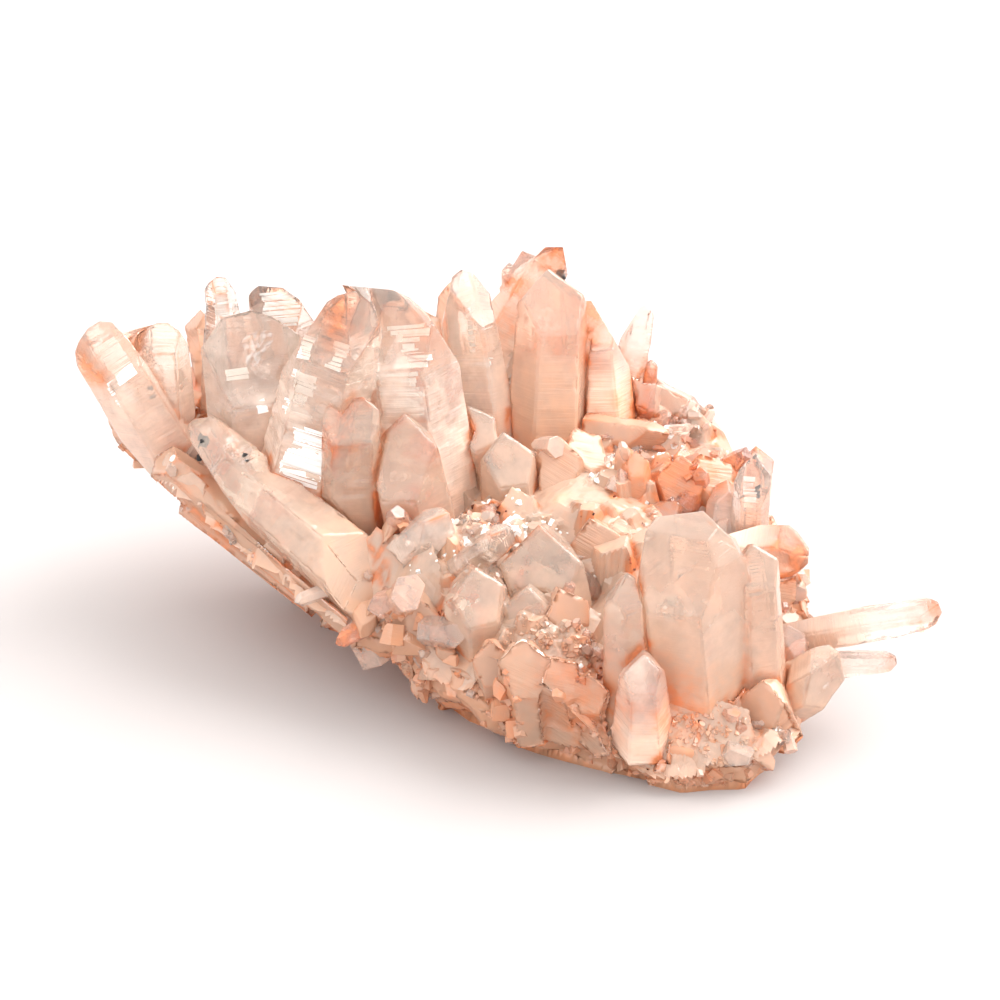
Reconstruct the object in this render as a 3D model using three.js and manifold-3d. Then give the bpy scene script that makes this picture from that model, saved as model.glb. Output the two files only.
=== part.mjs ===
// A cluster of rose-stained quartz crystals on their own plate of massive quartz, in millimetres.
// X runs along the plate, from its raised left end to its low right end; Y runs from the low front
// rim to the high back; Z is up, and the plate stands on the worn flat under its thick middle.
import * as THREE from "three";
import { ConvexGeometry } from "three/addons/geometries/ConvexGeometry.js";
import { mergeVertices } from "three/addons/utils/BufferGeometryUtils.js";
import Module from "manifold-3d";

// The plate's upper side climbs to the back and a little to the left, swells in the middle, and
// has bumps.
const TOP_LEVEL = 22;
const TOP_RISE_TO_RIGHT = -0.16;
const TOP_RISE_TO_BACK = 0.277;
const TOP_SWELL = 5;
const TOP_BUMP = 1.8;
const TOP_BUMP_WIDTH = 10;

// The rim, seen from above. edge is the thickness of the plate there, and undercut how far in
// towards the core, as a share, the underside has come down to the ground.
const CORE = { x: -4, y: 8 };
const RIM = [
  { x: -78, y: -6, edge: 5, undercut: 0.5 },
  { x: -67, y: -11, edge: 5, undercut: 0.5 },
  { x: -56, y: -15, edge: 5, undercut: 0.52 },
  { x: -43, y: -18, edge: 5, undercut: 0.55 },
  { x: -30, y: -21, edge: 6, undercut: 0.55 },
  { x: -17, y: -25, edge: 7, undercut: 0.5 },
  { x: -3, y: -27, edge: 7, undercut: 0.38 },
  { x: 14, y: -29, edge: 7, undercut: 0.26 },
  { x: 34, y: -27, edge: 8, undercut: 0.14 },
  { x: 46, y: -24, edge: 8, undercut: 0.1 },
  { x: 56, y: -18, edge: 8, undercut: 0.08 },
  { x: 60, y: -6, edge: 6, undercut: 0.18 },
  { x: 58, y: 7, edge: 5, undercut: 0.3 },
  { x: 49, y: 18, edge: 5, undercut: 0.35 },
  { x: 40, y: 30, edge: 6, undercut: 0.35 },
  { x: 26, y: 41, edge: 7, undercut: 0.35 },
  { x: 8, y: 45, edge: 8, undercut: 0.35 },
  { x: -8, y: 48, edge: 8, undercut: 0.42 },
  { x: -24, y: 45, edge: 8, undercut: 0.42 },
  { x: -38, y: 37, edge: 7, undercut: 0.46 },
  { x: -51, y: 29, edge: 6, undercut: 0.48 },
  { x: -64, y: 19, edge: 6, undercut: 0.5 },
  { x: -74, y: 7, edge: 5, undercut: 0.5 },
];
const RIM_STEPS = 48;
const RIM_ROUGHNESS = 1.4;
const UPPER_RINGS = [0.97, 0.86, 0.68, 0.42];
const UNDER_RINGS = [0.25, 0.5, 0.75];
const BASE_RINGS = [1, 0.5];
const BELOW_GROUND = 1.5;
const LEAST_UNDERCUT = 0.06;
const UNDER_BUMP = 3;
const UNDER_BUMP_WIDTH = 13;

// The rings of the rim's rounded edge, as shares of the way out and of the edge's thickness.
const LIP_RINGS = [
  { out: 1, down: 0.3 },
  { out: 0.99, down: 0.75 },
  { out: 0.95, down: 1.05 },
];

// How rough the plate's surface is, up or down.
const TOP_ROUGHNESS = 0.7;
const LIP_ROUGHNESS = 0.5;
const UNDER_ROUGHNESS = 1;

// Quartz keeps its angles: the sloping end faces lean 51.8 degrees from the crystal's axis. The six
// sides draw in by a few degrees towards the tip.
const END_FACE_LEAN = 51.8;
const SIDE_DRAW = 1.6;
const ROOT = 4;
const GAP = 0.35;

// How uneven the faces are, as shares of the width: how far each side is from the axis, how far the
// broad and the narrow end faces are set off outwards, and how much more the others are where one
// has outgrown them.
const SIDE_REACH = { from: 0.45, to: 0.55 };
const BROAD_SET_OFF = { from: 0, to: 0.16 };
const NARROW_SET_OFF = { from: 0.18, to: 0.48 };
const OUTGROWN_SET_OFF = 0.6;

// The crystals that stand clear of the plate. Those with the same node have grown together. foot is
// where the axis leaves the plate and tip where it ends, width the mean distance between opposite
// sides at the foot. The first side faces the compass angle turn, flat draws it and the one opposite
// together, draw is the taper of the sides in degrees, and cut, from 0 to 1, is how far the first
// end face has outgrown the others.
const CRYSTALS = [
  { node: "left_pair", foot: [-65, -7, 31], tip: [-72.5, -15.5, 54.5], width: 13.2, turn: -38, cut: 0.1 },
  { node: "left_pair", foot: [-64, -6.5, 29], tip: [-64, -7, 54], width: 9.6, turn: -58, cut: 0.05 },
  { node: "left_spire", foot: [-58, 4, 32], tip: [-60, 5, 58.5], width: 10, turn: -48, cut: 0.05, draw: 6 },
  { node: "left_block", foot: [-45, -4, 27], tip: [-45.5, -7, 58.5], width: 18, turn: -50, cut: 0.5 },
  { node: "left_clear", foot: [-48, 11, 33], tip: [-52, 11, 56.5], width: 11, turn: -70, cut: 0.3 },
  { node: "centre_pair", foot: [-34, -10, 26], tip: [-24, -8, 67.5], width: 15, turn: -72, cut: 0.3 },
  { node: "centre_pair", foot: [-16, 1, 27], tip: [-21.5, 2, 65], width: 17.5, turn: -66, cut: 0.12 },
  { node: "back_fractured", foot: [-14, 21, 31], tip: [-19.5, 22, 61.5], width: 11.8, turn: -16, cut: 0.4 },
  { node: "back_milky", foot: [-5, 25, 33], tip: [-5.5, 28, 62], width: 13.4, turn: -44, cut: 0.15 },
  { node: "back_tall", foot: [-22, 37, 40], tip: [-14, 45, 60], width: 9, turn: 120, cut: 0.3, flat: 0.8 },
  { node: "back_tall", foot: [-20, 40, 38], tip: [-21, 40, 56], width: 4.2, turn: -60, cut: 0.2 },
  { node: "back_rust", foot: [0.5, 34, 33], tip: [-3, 36, 54.5], width: 11.8, turn: -62, cut: 0.35 },
  { node: "back_spike", foot: [2, 40, 34], tip: [4, 45, 52.5], width: 7, turn: -70, cut: 0.1, draw: 5 },
  { node: "back_thorn", foot: [7, 40, 34], tip: [7, 42, 42.5], width: 3.4, turn: -60, cut: 0.1, draw: 4 },
  { node: "ridge_plank", foot: [-4, 39, 37], tip: [18, 44, 29], width: 11, turn: -60, cut: 0.5, flat: 0.8 },
  { node: "right_column", foot: [38, 18, 20], tip: [38, 19, 38.5], width: 6.8, turn: -66, cut: 0.7 },
  { node: "right_stump", foot: [33, 30, 25], tip: [33, 32, 35.5], width: 6.4, turn: -40, cut: 0.5 },
  { node: "right_knob", foot: [39, 11, 26], tip: [53, 13.5, 29], width: 10, turn: 100, cut: 0.05 },
  { node: "front_big", foot: [44, -10, 11], tip: [43.5, -17, 46.5], width: 17.4, turn: -78, cut: 0.3 },
  { node: "front_big", foot: [52.5, -6, 12], tip: [52, -9, 39.5], width: 9, turn: -44, cut: 0.3 },
  { node: "front_blade", foot: [37, -21, 13], tip: [37, -23, 37], width: 9, turn: -34, cut: 0.3, flat: 0.75 },
  { node: "front_point", foot: [40, -23, 10], tip: [42, -28, 26], width: 9, turn: -60, cut: 0.05, draw: 5 },
  { node: "right_long", foot: [52, 7, 16], tip: [75.5, 16, 22.5], width: 7.2, turn: -60, cut: 0.2 },
  { node: "right_long_low", foot: [54, 4, 12], tip: [71, 9, 14.5], width: 5.3, turn: -60, cut: 0.3 },
  { node: "right_corner", foot: [57, -2, 11], tip: [65, -1, 18], width: 9, turn: -30, cut: 0.6 },
  { node: "left_lying", foot: [-13, -22.5, 22], tip: [-51, -17, 37.5], width: 12.8, turn: -70, cut: 0.3 },
  { node: "middle_slab", foot: [-22, -12, 22], tip: [-20, -15, 50], width: 10, turn: -52, cut: 1, flat: 0.7 },
  { node: "middle_wedge", foot: [-12, -6, 22], tip: [-14, -11, 46.5], width: 12, turn: -76, cut: 0.7 },
  { node: "middle_bundle", foot: [-14, -18, 19], tip: [0, -17, 35.5], width: 8, turn: -50, cut: 0.2 },
  { node: "middle_bundle", foot: [-6, -16, 18], tip: [11, -15, 34.5], width: 6.4, turn: -50, cut: 0.2 },
  { node: "front_round", foot: [8, -20, 14], tip: [10, -25, 31.5], width: 10.4, turn: -46, cut: 0.2 },
  { node: "front_round", foot: [15, -16, 14], tip: [17, -21, 27.5], width: 7.8, turn: -70, cut: 0.3 },
  { node: "middle_cap", foot: [16, -10, 17], tip: [15, -14, 34.5], width: 14, turn: -70, cut: 0.5 },
  { node: "middle_core", foot: [-1, 6, 27], tip: [-1, 4, 41], width: 9, turn: -50, cut: 0.5 },
  { node: "middle_core", foot: [-9, 9, 28], tip: [-10, 7, 43], width: 8, turn: -30, cut: 0.4 },
];

// Smaller crystals, which are part of the plate.
const FUSED = [
  { foot: [2, 27, 33], tip: [18, 27, 35], width: 6.4, turn: -60, cut: 0.6 },
  { foot: [29, 24, 25], tip: [28, 23, 36.5], width: 8.4, turn: -20, cut: 0.7 },
  { foot: [24, 20, 24], tip: [25, 18, 36.5], width: 8, turn: -60, cut: 0.8 },
  { foot: [31, 29, 26], tip: [31, 29, 34], width: 4, turn: -60, cut: 0.2 },
  { foot: [52, -3, 10], tip: [57, 10, 20.5], width: 3.4, turn: -60, cut: 0.8 },
  { foot: [46, 8, 20], tip: [52, 8, 24.5], width: 5.2, turn: -60, cut: 0.4 },
  { foot: [56, -8, 8], tip: [56, -14, 17], width: 8, turn: -84, cut: 0.6 },
  { foot: [-12, -15, 21], tip: [-9, -18, 32.5], width: 6.4, turn: -20, cut: 0.6 },
  { foot: [-14, -19, 18], tip: [1, -21, 21.5], width: 4.6, turn: -60, cut: 0.5 },
  { foot: [5, 11, 26], tip: [5, 10, 39], width: 9, turn: -64, cut: 0.6 },
  { foot: [9, 16, 28], tip: [7, 16, 39.5], width: 7, turn: -20, cut: 0.7 },
  { foot: [15, 16, 26], tip: [15.5, 16, 38.5], width: 3.8, turn: -30, cut: 0.4 },
  { foot: [19, 15, 25], tip: [18, 15, 38], width: 5.2, turn: -60, cut: 0.4 },
  { foot: [21, -27, 9], tip: [23, -33, 24.5], width: 9, turn: -60, cut: 0.6 },
  { foot: [27, -24, 9], tip: [28, -31, 22.5], width: 7.8, turn: -30, cut: 0.5 },
  { foot: [31, -22, 8], tip: [33, -29, 19.5], width: 7, turn: -70, cut: 0.6 },
  { foot: [22, -14, 14], tip: [22, -18, 27.5], width: 8, turn: -40, cut: 0.5 },
  { foot: [14, -25, 10], tip: [16, -31, 21.5], width: 7, turn: -60, cut: 0.6 },
  { foot: [20, 1, 20], tip: [19, -4, 32.5], width: 9, turn: -60, cut: 0.6 },
  { foot: [46, -13, 7], tip: [47, -19, 16.5], width: 10.5, turn: -60, cut: 0.7 },
  { foot: [50, -11, 7], tip: [51, -14, 17], width: 7, turn: -30, cut: 0.5 },
  { foot: [-3, -22, 13], tip: [-1, -28, 24.5], width: 9, turn: -70, cut: 0.6 },
  { foot: [-12, -21, 14], tip: [-10, -27, 22], width: 8, turn: -50, cut: 0.6 },
  { foot: [4, -22, 11], tip: [6, -27, 22], width: 7, turn: -40, cut: 0.5 },
  { foot: [-27, -15, 16], tip: [-31, -21, 15], width: 4.2, turn: -60, cut: 0.3 },
  { foot: [-17, -22, 17], tip: [-61, -16, 32], width: 9, turn: -50, cut: 0.5 },
  { foot: [-28, -19, 15.5], tip: [-54, -18, 26], width: 7, turn: -20, cut: 0.6 },
  { foot: [-21, 13, 33], tip: [-26, 16, 56], width: 9, turn: 80, cut: 0.3 },
  { foot: [-37, 9, 33], tip: [-40, 13, 53], width: 9.5, turn: 110, cut: 0.4 },
  { foot: [-32, 20, 35], tip: [-36, 28, 51], width: 9, turn: 60, cut: 0.5 },
  { foot: [-42, 23, 34], tip: [-47, 32, 47], width: 8, turn: 130, cut: 0.3 },
  { foot: [-54, 18, 33], tip: [-60, 25, 46], width: 8, turn: 100, cut: 0.4 },
  { foot: [-64, 9, 32], tip: [-71, 14, 46], width: 7.5, turn: 140, cut: 0.3 },
  { foot: [-29, 32, 37], tip: [-33, 41, 49], width: 7.5, turn: 90, cut: 0.5 },
  { foot: [-12, 39, 38], tip: [-13, 49, 49], width: 8, turn: 70, cut: 0.4 },
  { foot: [-71, -1, 30], tip: [-79, 1, 41], width: 7, turn: 170, cut: 0.4 },
  { foot: [-2, -22, 10], tip: [-1, -25, 3.5], width: 4.4, turn: -60, cut: 0.6 },
  { foot: [-18, -19, 14], tip: [-21, -24, 10.5], width: 6, turn: -60, cut: 0.5 },
];

// The rest of the plate's cover: small crystals strewn over the top, which splay out towards the
// rim, and stubs under the rim. Each strewn one is a golden share of the way round from the last.
const STREWN = 24;
const STREWN_WIDTH = { from: 4, to: 8.5 };
const STREWN_HEIGHT = { from: 2.5, to: 9 };
const STREWN_SPLAY = 0.9;
const STUBS = 10;
const STUB_WIDTH = { from: 3.5, to: 6.5 };
const STUB_LENGTH = { from: 2.5, to: 5 };
const STUB_DEPTH = { from: 2, to: 5 };
const STUB_DROOP = { from: 0, to: 0.9 };
const STUB_INSET = 1.5;
const GOLDEN_SHARE = (3 - Math.sqrt(5)) / 2;

const wasm = await Module();
wasm.setup();

// A repeatable number from 0 to 1 for each seed.
function scatter(seed) {
  const wave = Math.sin(seed * 127.1 + 311.7) * 43758.5453;
  return wave - Math.floor(wave);
}

function between({ from, to }, seed) {
  return THREE.MathUtils.lerp(from, to, scatter(seed));
}

// Smooth bumps from -1 to 1 over the plan, about one bump to a unit.
function bumps(x, y, seed) {
  const column = Math.floor(x);
  const row = Math.floor(y);
  const ease = (t) => t * t * (3 - 2 * t);
  const across = ease(x - column);
  const along = ease(y - row);
  const corner = (i, j) => scatter((column + i) * 12.9898 + (row + j) * 78.233 + seed) * 2 - 1;
  const near = THREE.MathUtils.lerp(corner(0, 0), corner(1, 0), across);
  const far = THREE.MathUtils.lerp(corner(0, 1), corner(1, 1), across);
  return THREE.MathUtils.lerp(near, far, along);
}

// The height of the plate's upper side. out is 0 at the core and 1 at the rim.
function topHeight(x, y, out) {
  const slope = TOP_LEVEL + TOP_RISE_TO_RIGHT * x + TOP_RISE_TO_BACK * y;
  const bump = TOP_BUMP * bumps(x / TOP_BUMP_WIDTH, y / TOP_BUMP_WIDTH, 3);
  return slope + TOP_SWELL * (1 - out * out) + bump;
}

// A closed mesh in a BufferGeometry as a manifold-3d solid.
function toSolid(geometry) {
  geometry.deleteAttribute("normal");
  geometry.deleteAttribute("uv");
  const merged = mergeVertices(geometry, 1e-3);
  return new wasm.Manifold(
    new wasm.Mesh({
      numProp: 3,
      vertProperties: new Float32Array(merged.attributes.position.array),
      triVerts: new Uint32Array(merged.index.array),
    }),
  );
}

function toGeometry(solid) {
  const made = solid.getMesh();
  const positions = new Float32Array(made.numVert * 3);
  for (let i = 0; i < made.numVert; i++) {
    const start = i * made.numProp;
    positions.set(made.vertProperties.subarray(start, start + 3), i * 3);
  }
  const geometry = new THREE.BufferGeometry();
  geometry.setAttribute("position", new THREE.BufferAttribute(positions, 3));
  geometry.setIndex(new THREE.BufferAttribute(made.triVerts, 1));
  return geometry;
}

// The largest piece of a solid, without the chips that a cut leaves loose.
function largest(solid) {
  return solid.decompose().reduce((a, b) => (b.volume() > a.volume() ? b : a));
}

// The corners of the convex solid that lies behind every plane.
function corners(planes) {
  const found = [];
  const matrix = new THREE.Matrix3();
  planes.forEach((a, i) => {
    planes.slice(i + 1).forEach((b, j) => {
      planes.slice(i + j + 2).forEach((c) => {
        const [p, q, r] = [a.normal, b.normal, c.normal];
        matrix.set(p.x, p.y, p.z, q.x, q.y, q.z, r.x, r.y, r.z);
        if (Math.abs(matrix.determinant()) < 1e-6) return;
        const corner = new THREE.Vector3(a.reach, b.reach, c.reach).applyMatrix3(matrix.invert());
        const inside = planes.every((plane) => plane.normal.dot(corner) <= plane.reach + 1e-6);
        if (inside && !found.some((other) => other.distanceTo(corner) < 0.02)) found.push(corner);
      });
    });
  });
  return found;
}

// The planes of a quartz crystal about its own axis, which is Z with the foot at 0: six sides, six
// sloping end faces of which every other one is broad, and the buried root. Each face is set off a
// little from the ideal, as real ones are, and the end faces move together until the highest corner
// is at length. margin grows the whole solid outwards.
function quartzPlanes({ width, turn, cut, flat = 1, draw = SIDE_DRAW }, length, seed, margin) {
  const taper = THREE.MathUtils.degToRad(draw);
  const lean = THREE.MathUtils.degToRad(END_FACE_LEAN);
  const sides = [];
  const ends = [];
  for (let k = 0; k < 6; k++) {
    const angle = THREE.MathUtils.degToRad(turn + k * 60);
    const outwards = new THREE.Vector3(Math.cos(angle), Math.sin(angle), 0);
    const side = outwards.clone().multiplyScalar(Math.cos(taper)).setZ(Math.sin(taper));
    const reach = width * between(SIDE_REACH, seed + k) * (k % 3 ? 1 : flat);
    sides.push({ normal: side, reach });
    const end = outwards.clone().multiplyScalar(Math.sin(lean)).setZ(Math.cos(lean));
    const spread = between(k % 2 ? NARROW_SET_OFF : BROAD_SET_OFF, seed + k + 7);
    const setOff = width * (k ? spread + OUTGROWN_SET_OFF * cut : 0);
    ends.push({ normal: end, reach: (length + setOff) * Math.cos(lean) });
  }
  const root = { normal: new THREE.Vector3(0, 0, -1), reach: ROOT };
  const highest = Math.max(...corners([...sides, ...ends, root]).map((p) => p.z));
  ends.forEach((end) => (end.reach -= (highest - length) * Math.cos(lean)));
  return [...sides, ...ends, root].map(({ normal, reach }) => ({ normal, reach: reach + margin }));
}

// A crystal as a solid in its place.
function quartz(crystal, seed, margin = 0) {
  const foot = new THREE.Vector3(...crystal.foot);
  const axis = new THREE.Vector3(...crystal.tip).sub(foot);
  const length = axis.length();
  const upright = new THREE.Vector3(0, 0, 1);
  const leaned = new THREE.Quaternion().setFromUnitVectors(upright, axis.normalize());
  const points = corners(quartzPlanes(crystal, length, seed, margin));
  points.forEach((p) => p.applyQuaternion(leaned).add(foot));
  return toSolid(new ConvexGeometry(points));
}

// A closed curve through the rows of RIM, each made a point by pick.
function rimCurve(pick) {
  return new THREE.CatmullRomCurve3(RIM.map(pick), true);
}

// The curve's points at the plate's steps round the rim.
function stepped(curve) {
  return Array.from({ length: RIM_STEPS }, (_, i) => curve.getPoint(i / RIM_STEPS));
}

const rimLine = rimCurve(({ x, y }) => new THREE.Vector3(x, y, 0));

// A point on the way from the core to p, which it reaches at share 1.
function fromCore(p, share) {
  return new THREE.Vector3(
    THREE.MathUtils.lerp(CORE.x, p.x, share),
    THREE.MathUtils.lerp(CORE.y, p.y, share),
    0,
  );
}

// The bare plate: rings of points from the middle of its upper side, out over the rim and back in
// under it to the ground, closed at both ends.
function plate() {
  const rough = (amount, seed) => amount * (2 * scatter(seed) - 1);
  const rim = stepped(rimLine);
  rim.forEach((p, i) => {
    const out = new THREE.Vector3(p.x - CORE.x, p.y - CORE.y, 0).normalize();
    p.addScaledVector(out, rough(RIM_ROUGHNESS, i + 0.5));
  });
  const heights = stepped(rimCurve(({ edge, undercut }) => new THREE.Vector3(edge, undercut, 0)));
  const edges = heights.map((p) => p.x);
  const undercuts = heights.map((p) => p.y);

  const rings = UPPER_RINGS.map((share, r) =>
    rim.map((p, i) => {
      const q = fromCore(p, share);
      return q.setZ(topHeight(q.x, q.y, share) + rough(TOP_ROUGHNESS, i * 7.3 + r * 31.7));
    }),
  ).reverse();
  LIP_RINGS.forEach(({ out, down }, r) => {
    rings.push(
      rim.map((p, i) => {
        const height = topHeight(p.x, p.y, 1) - edges[i] * down;
        return fromCore(p, out).setZ(height + rough(LIP_ROUGHNESS, i * 5.1 + r * 13.3));
      }),
    );
  });
  const lower = rings[rings.length - 1];
  const ground = rim.map((p, i) => {
    return fromCore(p, 1 - Math.max(LEAST_UNDERCUT, undercuts[i])).setZ(-BELOW_GROUND);
  });
  UNDER_RINGS.forEach((share, r) => {
    rings.push(
      lower.map((p, i) => {
        const q = p.clone().lerp(ground[i], share);
        const bump = UNDER_BUMP * bumps(q.x / UNDER_BUMP_WIDTH, q.y / UNDER_BUMP_WIDTH, 8);
        return q.setZ(q.z + bump + rough(UNDER_ROUGHNESS, i * 9.7 + r * 17.3));
      }),
    );
  });
  BASE_RINGS.forEach((share, r) => {
    const depth = (i) => rough(LIP_ROUGHNESS, i + r * 41.9) - BELOW_GROUND;
    rings.push(ground.map((p, i) => fromCore(p, share).setZ(depth(i))));
  });

  const middleTop = new THREE.Vector3(CORE.x, CORE.y, topHeight(CORE.x, CORE.y, 0));
  const middleBase = new THREE.Vector3(CORE.x, CORE.y, -BELOW_GROUND);
  const points = [middleTop, ...rings.flat(), middleBase];
  const at = (ring, i) => 1 + ring * RIM_STEPS + (i % RIM_STEPS);
  const faces = [];
  for (let i = 0; i < RIM_STEPS; i++) {
    faces.push(0, at(0, i), at(0, i + 1));
    for (let ring = 0; ring < rings.length - 1; ring++) {
      const [a, b, c, d] = [at(ring, i), at(ring, i + 1), at(ring + 1, i), at(ring + 1, i + 1)];
      faces.push(...((i + ring) % 2 ? [a, c, b, b, c, d] : [a, c, d, a, d, b]));
    }
    faces.push(points.length - 1, at(rings.length - 1, i + 1), at(rings.length - 1, i));
  }
  const geometry = new THREE.BufferGeometry().setFromPoints(points);
  geometry.setIndex(faces);
  return toSolid(geometry);
}

// A small crystal that stands on the plate's top, leaning outwards the more the nearer it is to the
// rim, with its place in the strewn order as its seed.
function strewn(order) {
  const out = Math.sqrt((order + 0.5) / STREWN);
  const foot = fromCore(rimLine.getPointAt((order * GOLDEN_SHARE) % 1), 0.96 * out);
  const outwards = foot.clone().sub(new THREE.Vector3(CORE.x, CORE.y, 0)).normalize();
  foot.setZ(topHeight(foot.x, foot.y, out) - 1);
  const sideways = new THREE.Vector3(scatter(order + 0.2) - 0.5, scatter(order + 0.4) - 0.5, 0);
  const direction = outwards.multiplyScalar(STREWN_SPLAY * out).add(sideways).setZ(1).normalize();
  const tip = foot.clone().addScaledVector(direction, between(STREWN_HEIGHT, order + 0.7));
  const width = between(STREWN_WIDTH, order + 0.9);
  return { foot: foot.toArray(), tip: tip.toArray(), width, turn: 360 * scatter(order), cut: 0.5 };
}

// A stub that points out and down from under the rim.
function stub(order) {
  const rim = rimLine.getPointAt((order + 0.6 * scatter(order + 0.1)) / STUBS);
  const outwards = rim.clone().sub(new THREE.Vector3(CORE.x, CORE.y, 0)).normalize();
  const foot = rim.clone().setZ(topHeight(rim.x, rim.y, 1) - between(STUB_DEPTH, order + 0.3));
  foot.addScaledVector(outwards, -STUB_INSET);
  const direction = outwards.clone().setZ(-between(STUB_DROOP, order + 0.5)).normalize();
  const tip = foot.clone().addScaledVector(direction, between(STUB_LENGTH, order + 0.7));
  const width = between(STUB_WIDTH, order + 0.8);
  return { foot: foot.toArray(), tip: tip.toArray(), width, turn: 360 * scatter(order), cut: 0.6 };
}

const cluster = new THREE.Group();
const milky = new THREE.MeshStandardMaterial({ color: "#eebfa2", roughness: 0.75, metalness: 0 });
const clear = new THREE.MeshStandardMaterial({ color: "#f6d9c8", roughness: 0.2, metalness: 0 });

function addMesh(name, solid, material) {
  const grounded = largest(solid.trimByPlane([0, 0, 1], 0));
  const mesh = new THREE.Mesh(toGeometry(grounded), material);
  mesh.name = name;
  cluster.add(mesh);
}

const nodes = new Map();
CRYSTALS.forEach((crystal, i) => {
  const seed = 13 * (i + 1);
  const made = { solid: quartz(crystal, seed), socket: quartz(crystal, seed, GAP) };
  nodes.set(crystal.node, [...(nodes.get(crystal.node) ?? []), made]);
});
const taken = [];
for (const [name, parts] of nodes) {
  let solid = parts.map((part) => part.solid).reduce((a, b) => a.add(b));
  taken.forEach((socket) => (solid = solid.subtract(socket)));
  addMesh(name, solid, clear);
  taken.push(...parts.map((part) => part.socket));
}

const small = [
  ...FUSED,
  ...Array.from({ length: STREWN }, (_, i) => strewn(i)),
  ...Array.from({ length: STUBS }, (_, i) => stub(i)),
];
const grown = small.map((crystal, i) => quartz(crystal, 7 * i)).reduce((a, b) => a.add(b), plate());
addMesh("plate", taken.reduce((rest, socket) => rest.subtract(socket), grown), milky);

// The origin is under the middle of the whole cluster, on the ground.
const middle = new THREE.Box3().setFromObject(cluster).getCenter(new THREE.Vector3());
cluster.position.set(-middle.x, -middle.y, 0);

export default cluster;
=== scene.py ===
"""The looks of a cluster of rose-stained quartz crystals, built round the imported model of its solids.

Lengths in the classes are millimetres in the cluster's own frame: X runs along the plate from its
raised left end, Y from the low front rim to the high back, Z up. Blender's meshes are in metres.
"""

import logging
import math
from dataclasses import dataclass, field
from enum import Enum

import bmesh
import bpy
import numpy as np
from mathutils import Vector
from mathutils.bvhtree import BVHTree
from mathutils.geometry import delaunay_2d_cdt
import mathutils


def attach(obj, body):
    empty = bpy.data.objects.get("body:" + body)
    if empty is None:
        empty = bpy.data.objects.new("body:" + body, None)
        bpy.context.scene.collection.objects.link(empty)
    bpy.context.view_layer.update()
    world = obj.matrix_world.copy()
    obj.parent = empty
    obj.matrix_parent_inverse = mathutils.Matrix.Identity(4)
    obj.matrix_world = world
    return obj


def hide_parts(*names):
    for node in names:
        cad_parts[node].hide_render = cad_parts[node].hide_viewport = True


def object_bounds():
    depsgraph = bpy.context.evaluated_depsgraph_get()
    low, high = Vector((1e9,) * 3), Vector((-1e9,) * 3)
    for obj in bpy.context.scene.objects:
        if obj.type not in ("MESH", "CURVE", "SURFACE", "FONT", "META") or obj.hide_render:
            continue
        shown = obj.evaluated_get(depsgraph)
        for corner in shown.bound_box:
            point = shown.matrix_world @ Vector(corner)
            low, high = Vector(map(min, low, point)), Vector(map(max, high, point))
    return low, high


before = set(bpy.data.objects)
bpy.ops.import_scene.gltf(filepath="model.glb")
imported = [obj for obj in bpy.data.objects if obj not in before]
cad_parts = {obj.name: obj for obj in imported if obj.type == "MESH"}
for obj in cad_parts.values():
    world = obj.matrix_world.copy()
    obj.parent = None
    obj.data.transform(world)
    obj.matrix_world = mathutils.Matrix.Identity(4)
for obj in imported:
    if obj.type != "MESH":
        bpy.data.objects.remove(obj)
CAD_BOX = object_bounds()

MM = 0.001
GROWTH_TO_ROW = np.array([1.753, -7.191, 0.0])  # from the frame that crystals are listed in
PLATE_MIDDLE = (-4, 8)  # crystals splay outwards from here
QUARTZ_IOR = 1.544
FILM_IOR = 1.08  # for a film of air seen from inside the quartz, toned down so that it doesn't mirror
log = logging.getLogger("quartz_cluster")


class Habit(Enum):
    """How a crystal has grown, which sets how clear it is."""

    CLEAR = "clear_rock_crystal"
    VEILED = "veiled_rose_quartz"
    MILKY = "milky_rose_quartz"


@dataclass(frozen=True)
class Crystal:
    """One crystal of a node: where it stands and how its faces look.

    Attributes:
        node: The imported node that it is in.
        foot: Where its axis leaves the plate.
        tip: Where its axis ends.
        width: The mean distance between opposite sides.
        habit: How clear it is.
        ledges: How deep the growth steps across its sides are.
        rust: How much iron stain it has, from 0 to 1.
        worn: How far in from its edges it is rounded, in mm.
    """

    node: str
    foot: tuple
    tip: tuple
    width: float
    habit: Habit
    ledges: float
    rust: float
    worn: float = 0.5

    @property
    def root(self) -> np.ndarray:
        """The foot in the row frame."""
        return np.array(self.foot, float) + GROWTH_TO_ROW

    @property
    def length(self) -> float:
        """The distance from foot to tip."""
        return float(np.linalg.norm(np.subtract(self.tip, self.foot)))

    @property
    def axis(self) -> np.ndarray:
        """The direction from foot to tip."""
        return np.subtract(self.tip, self.foot) / self.length


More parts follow.
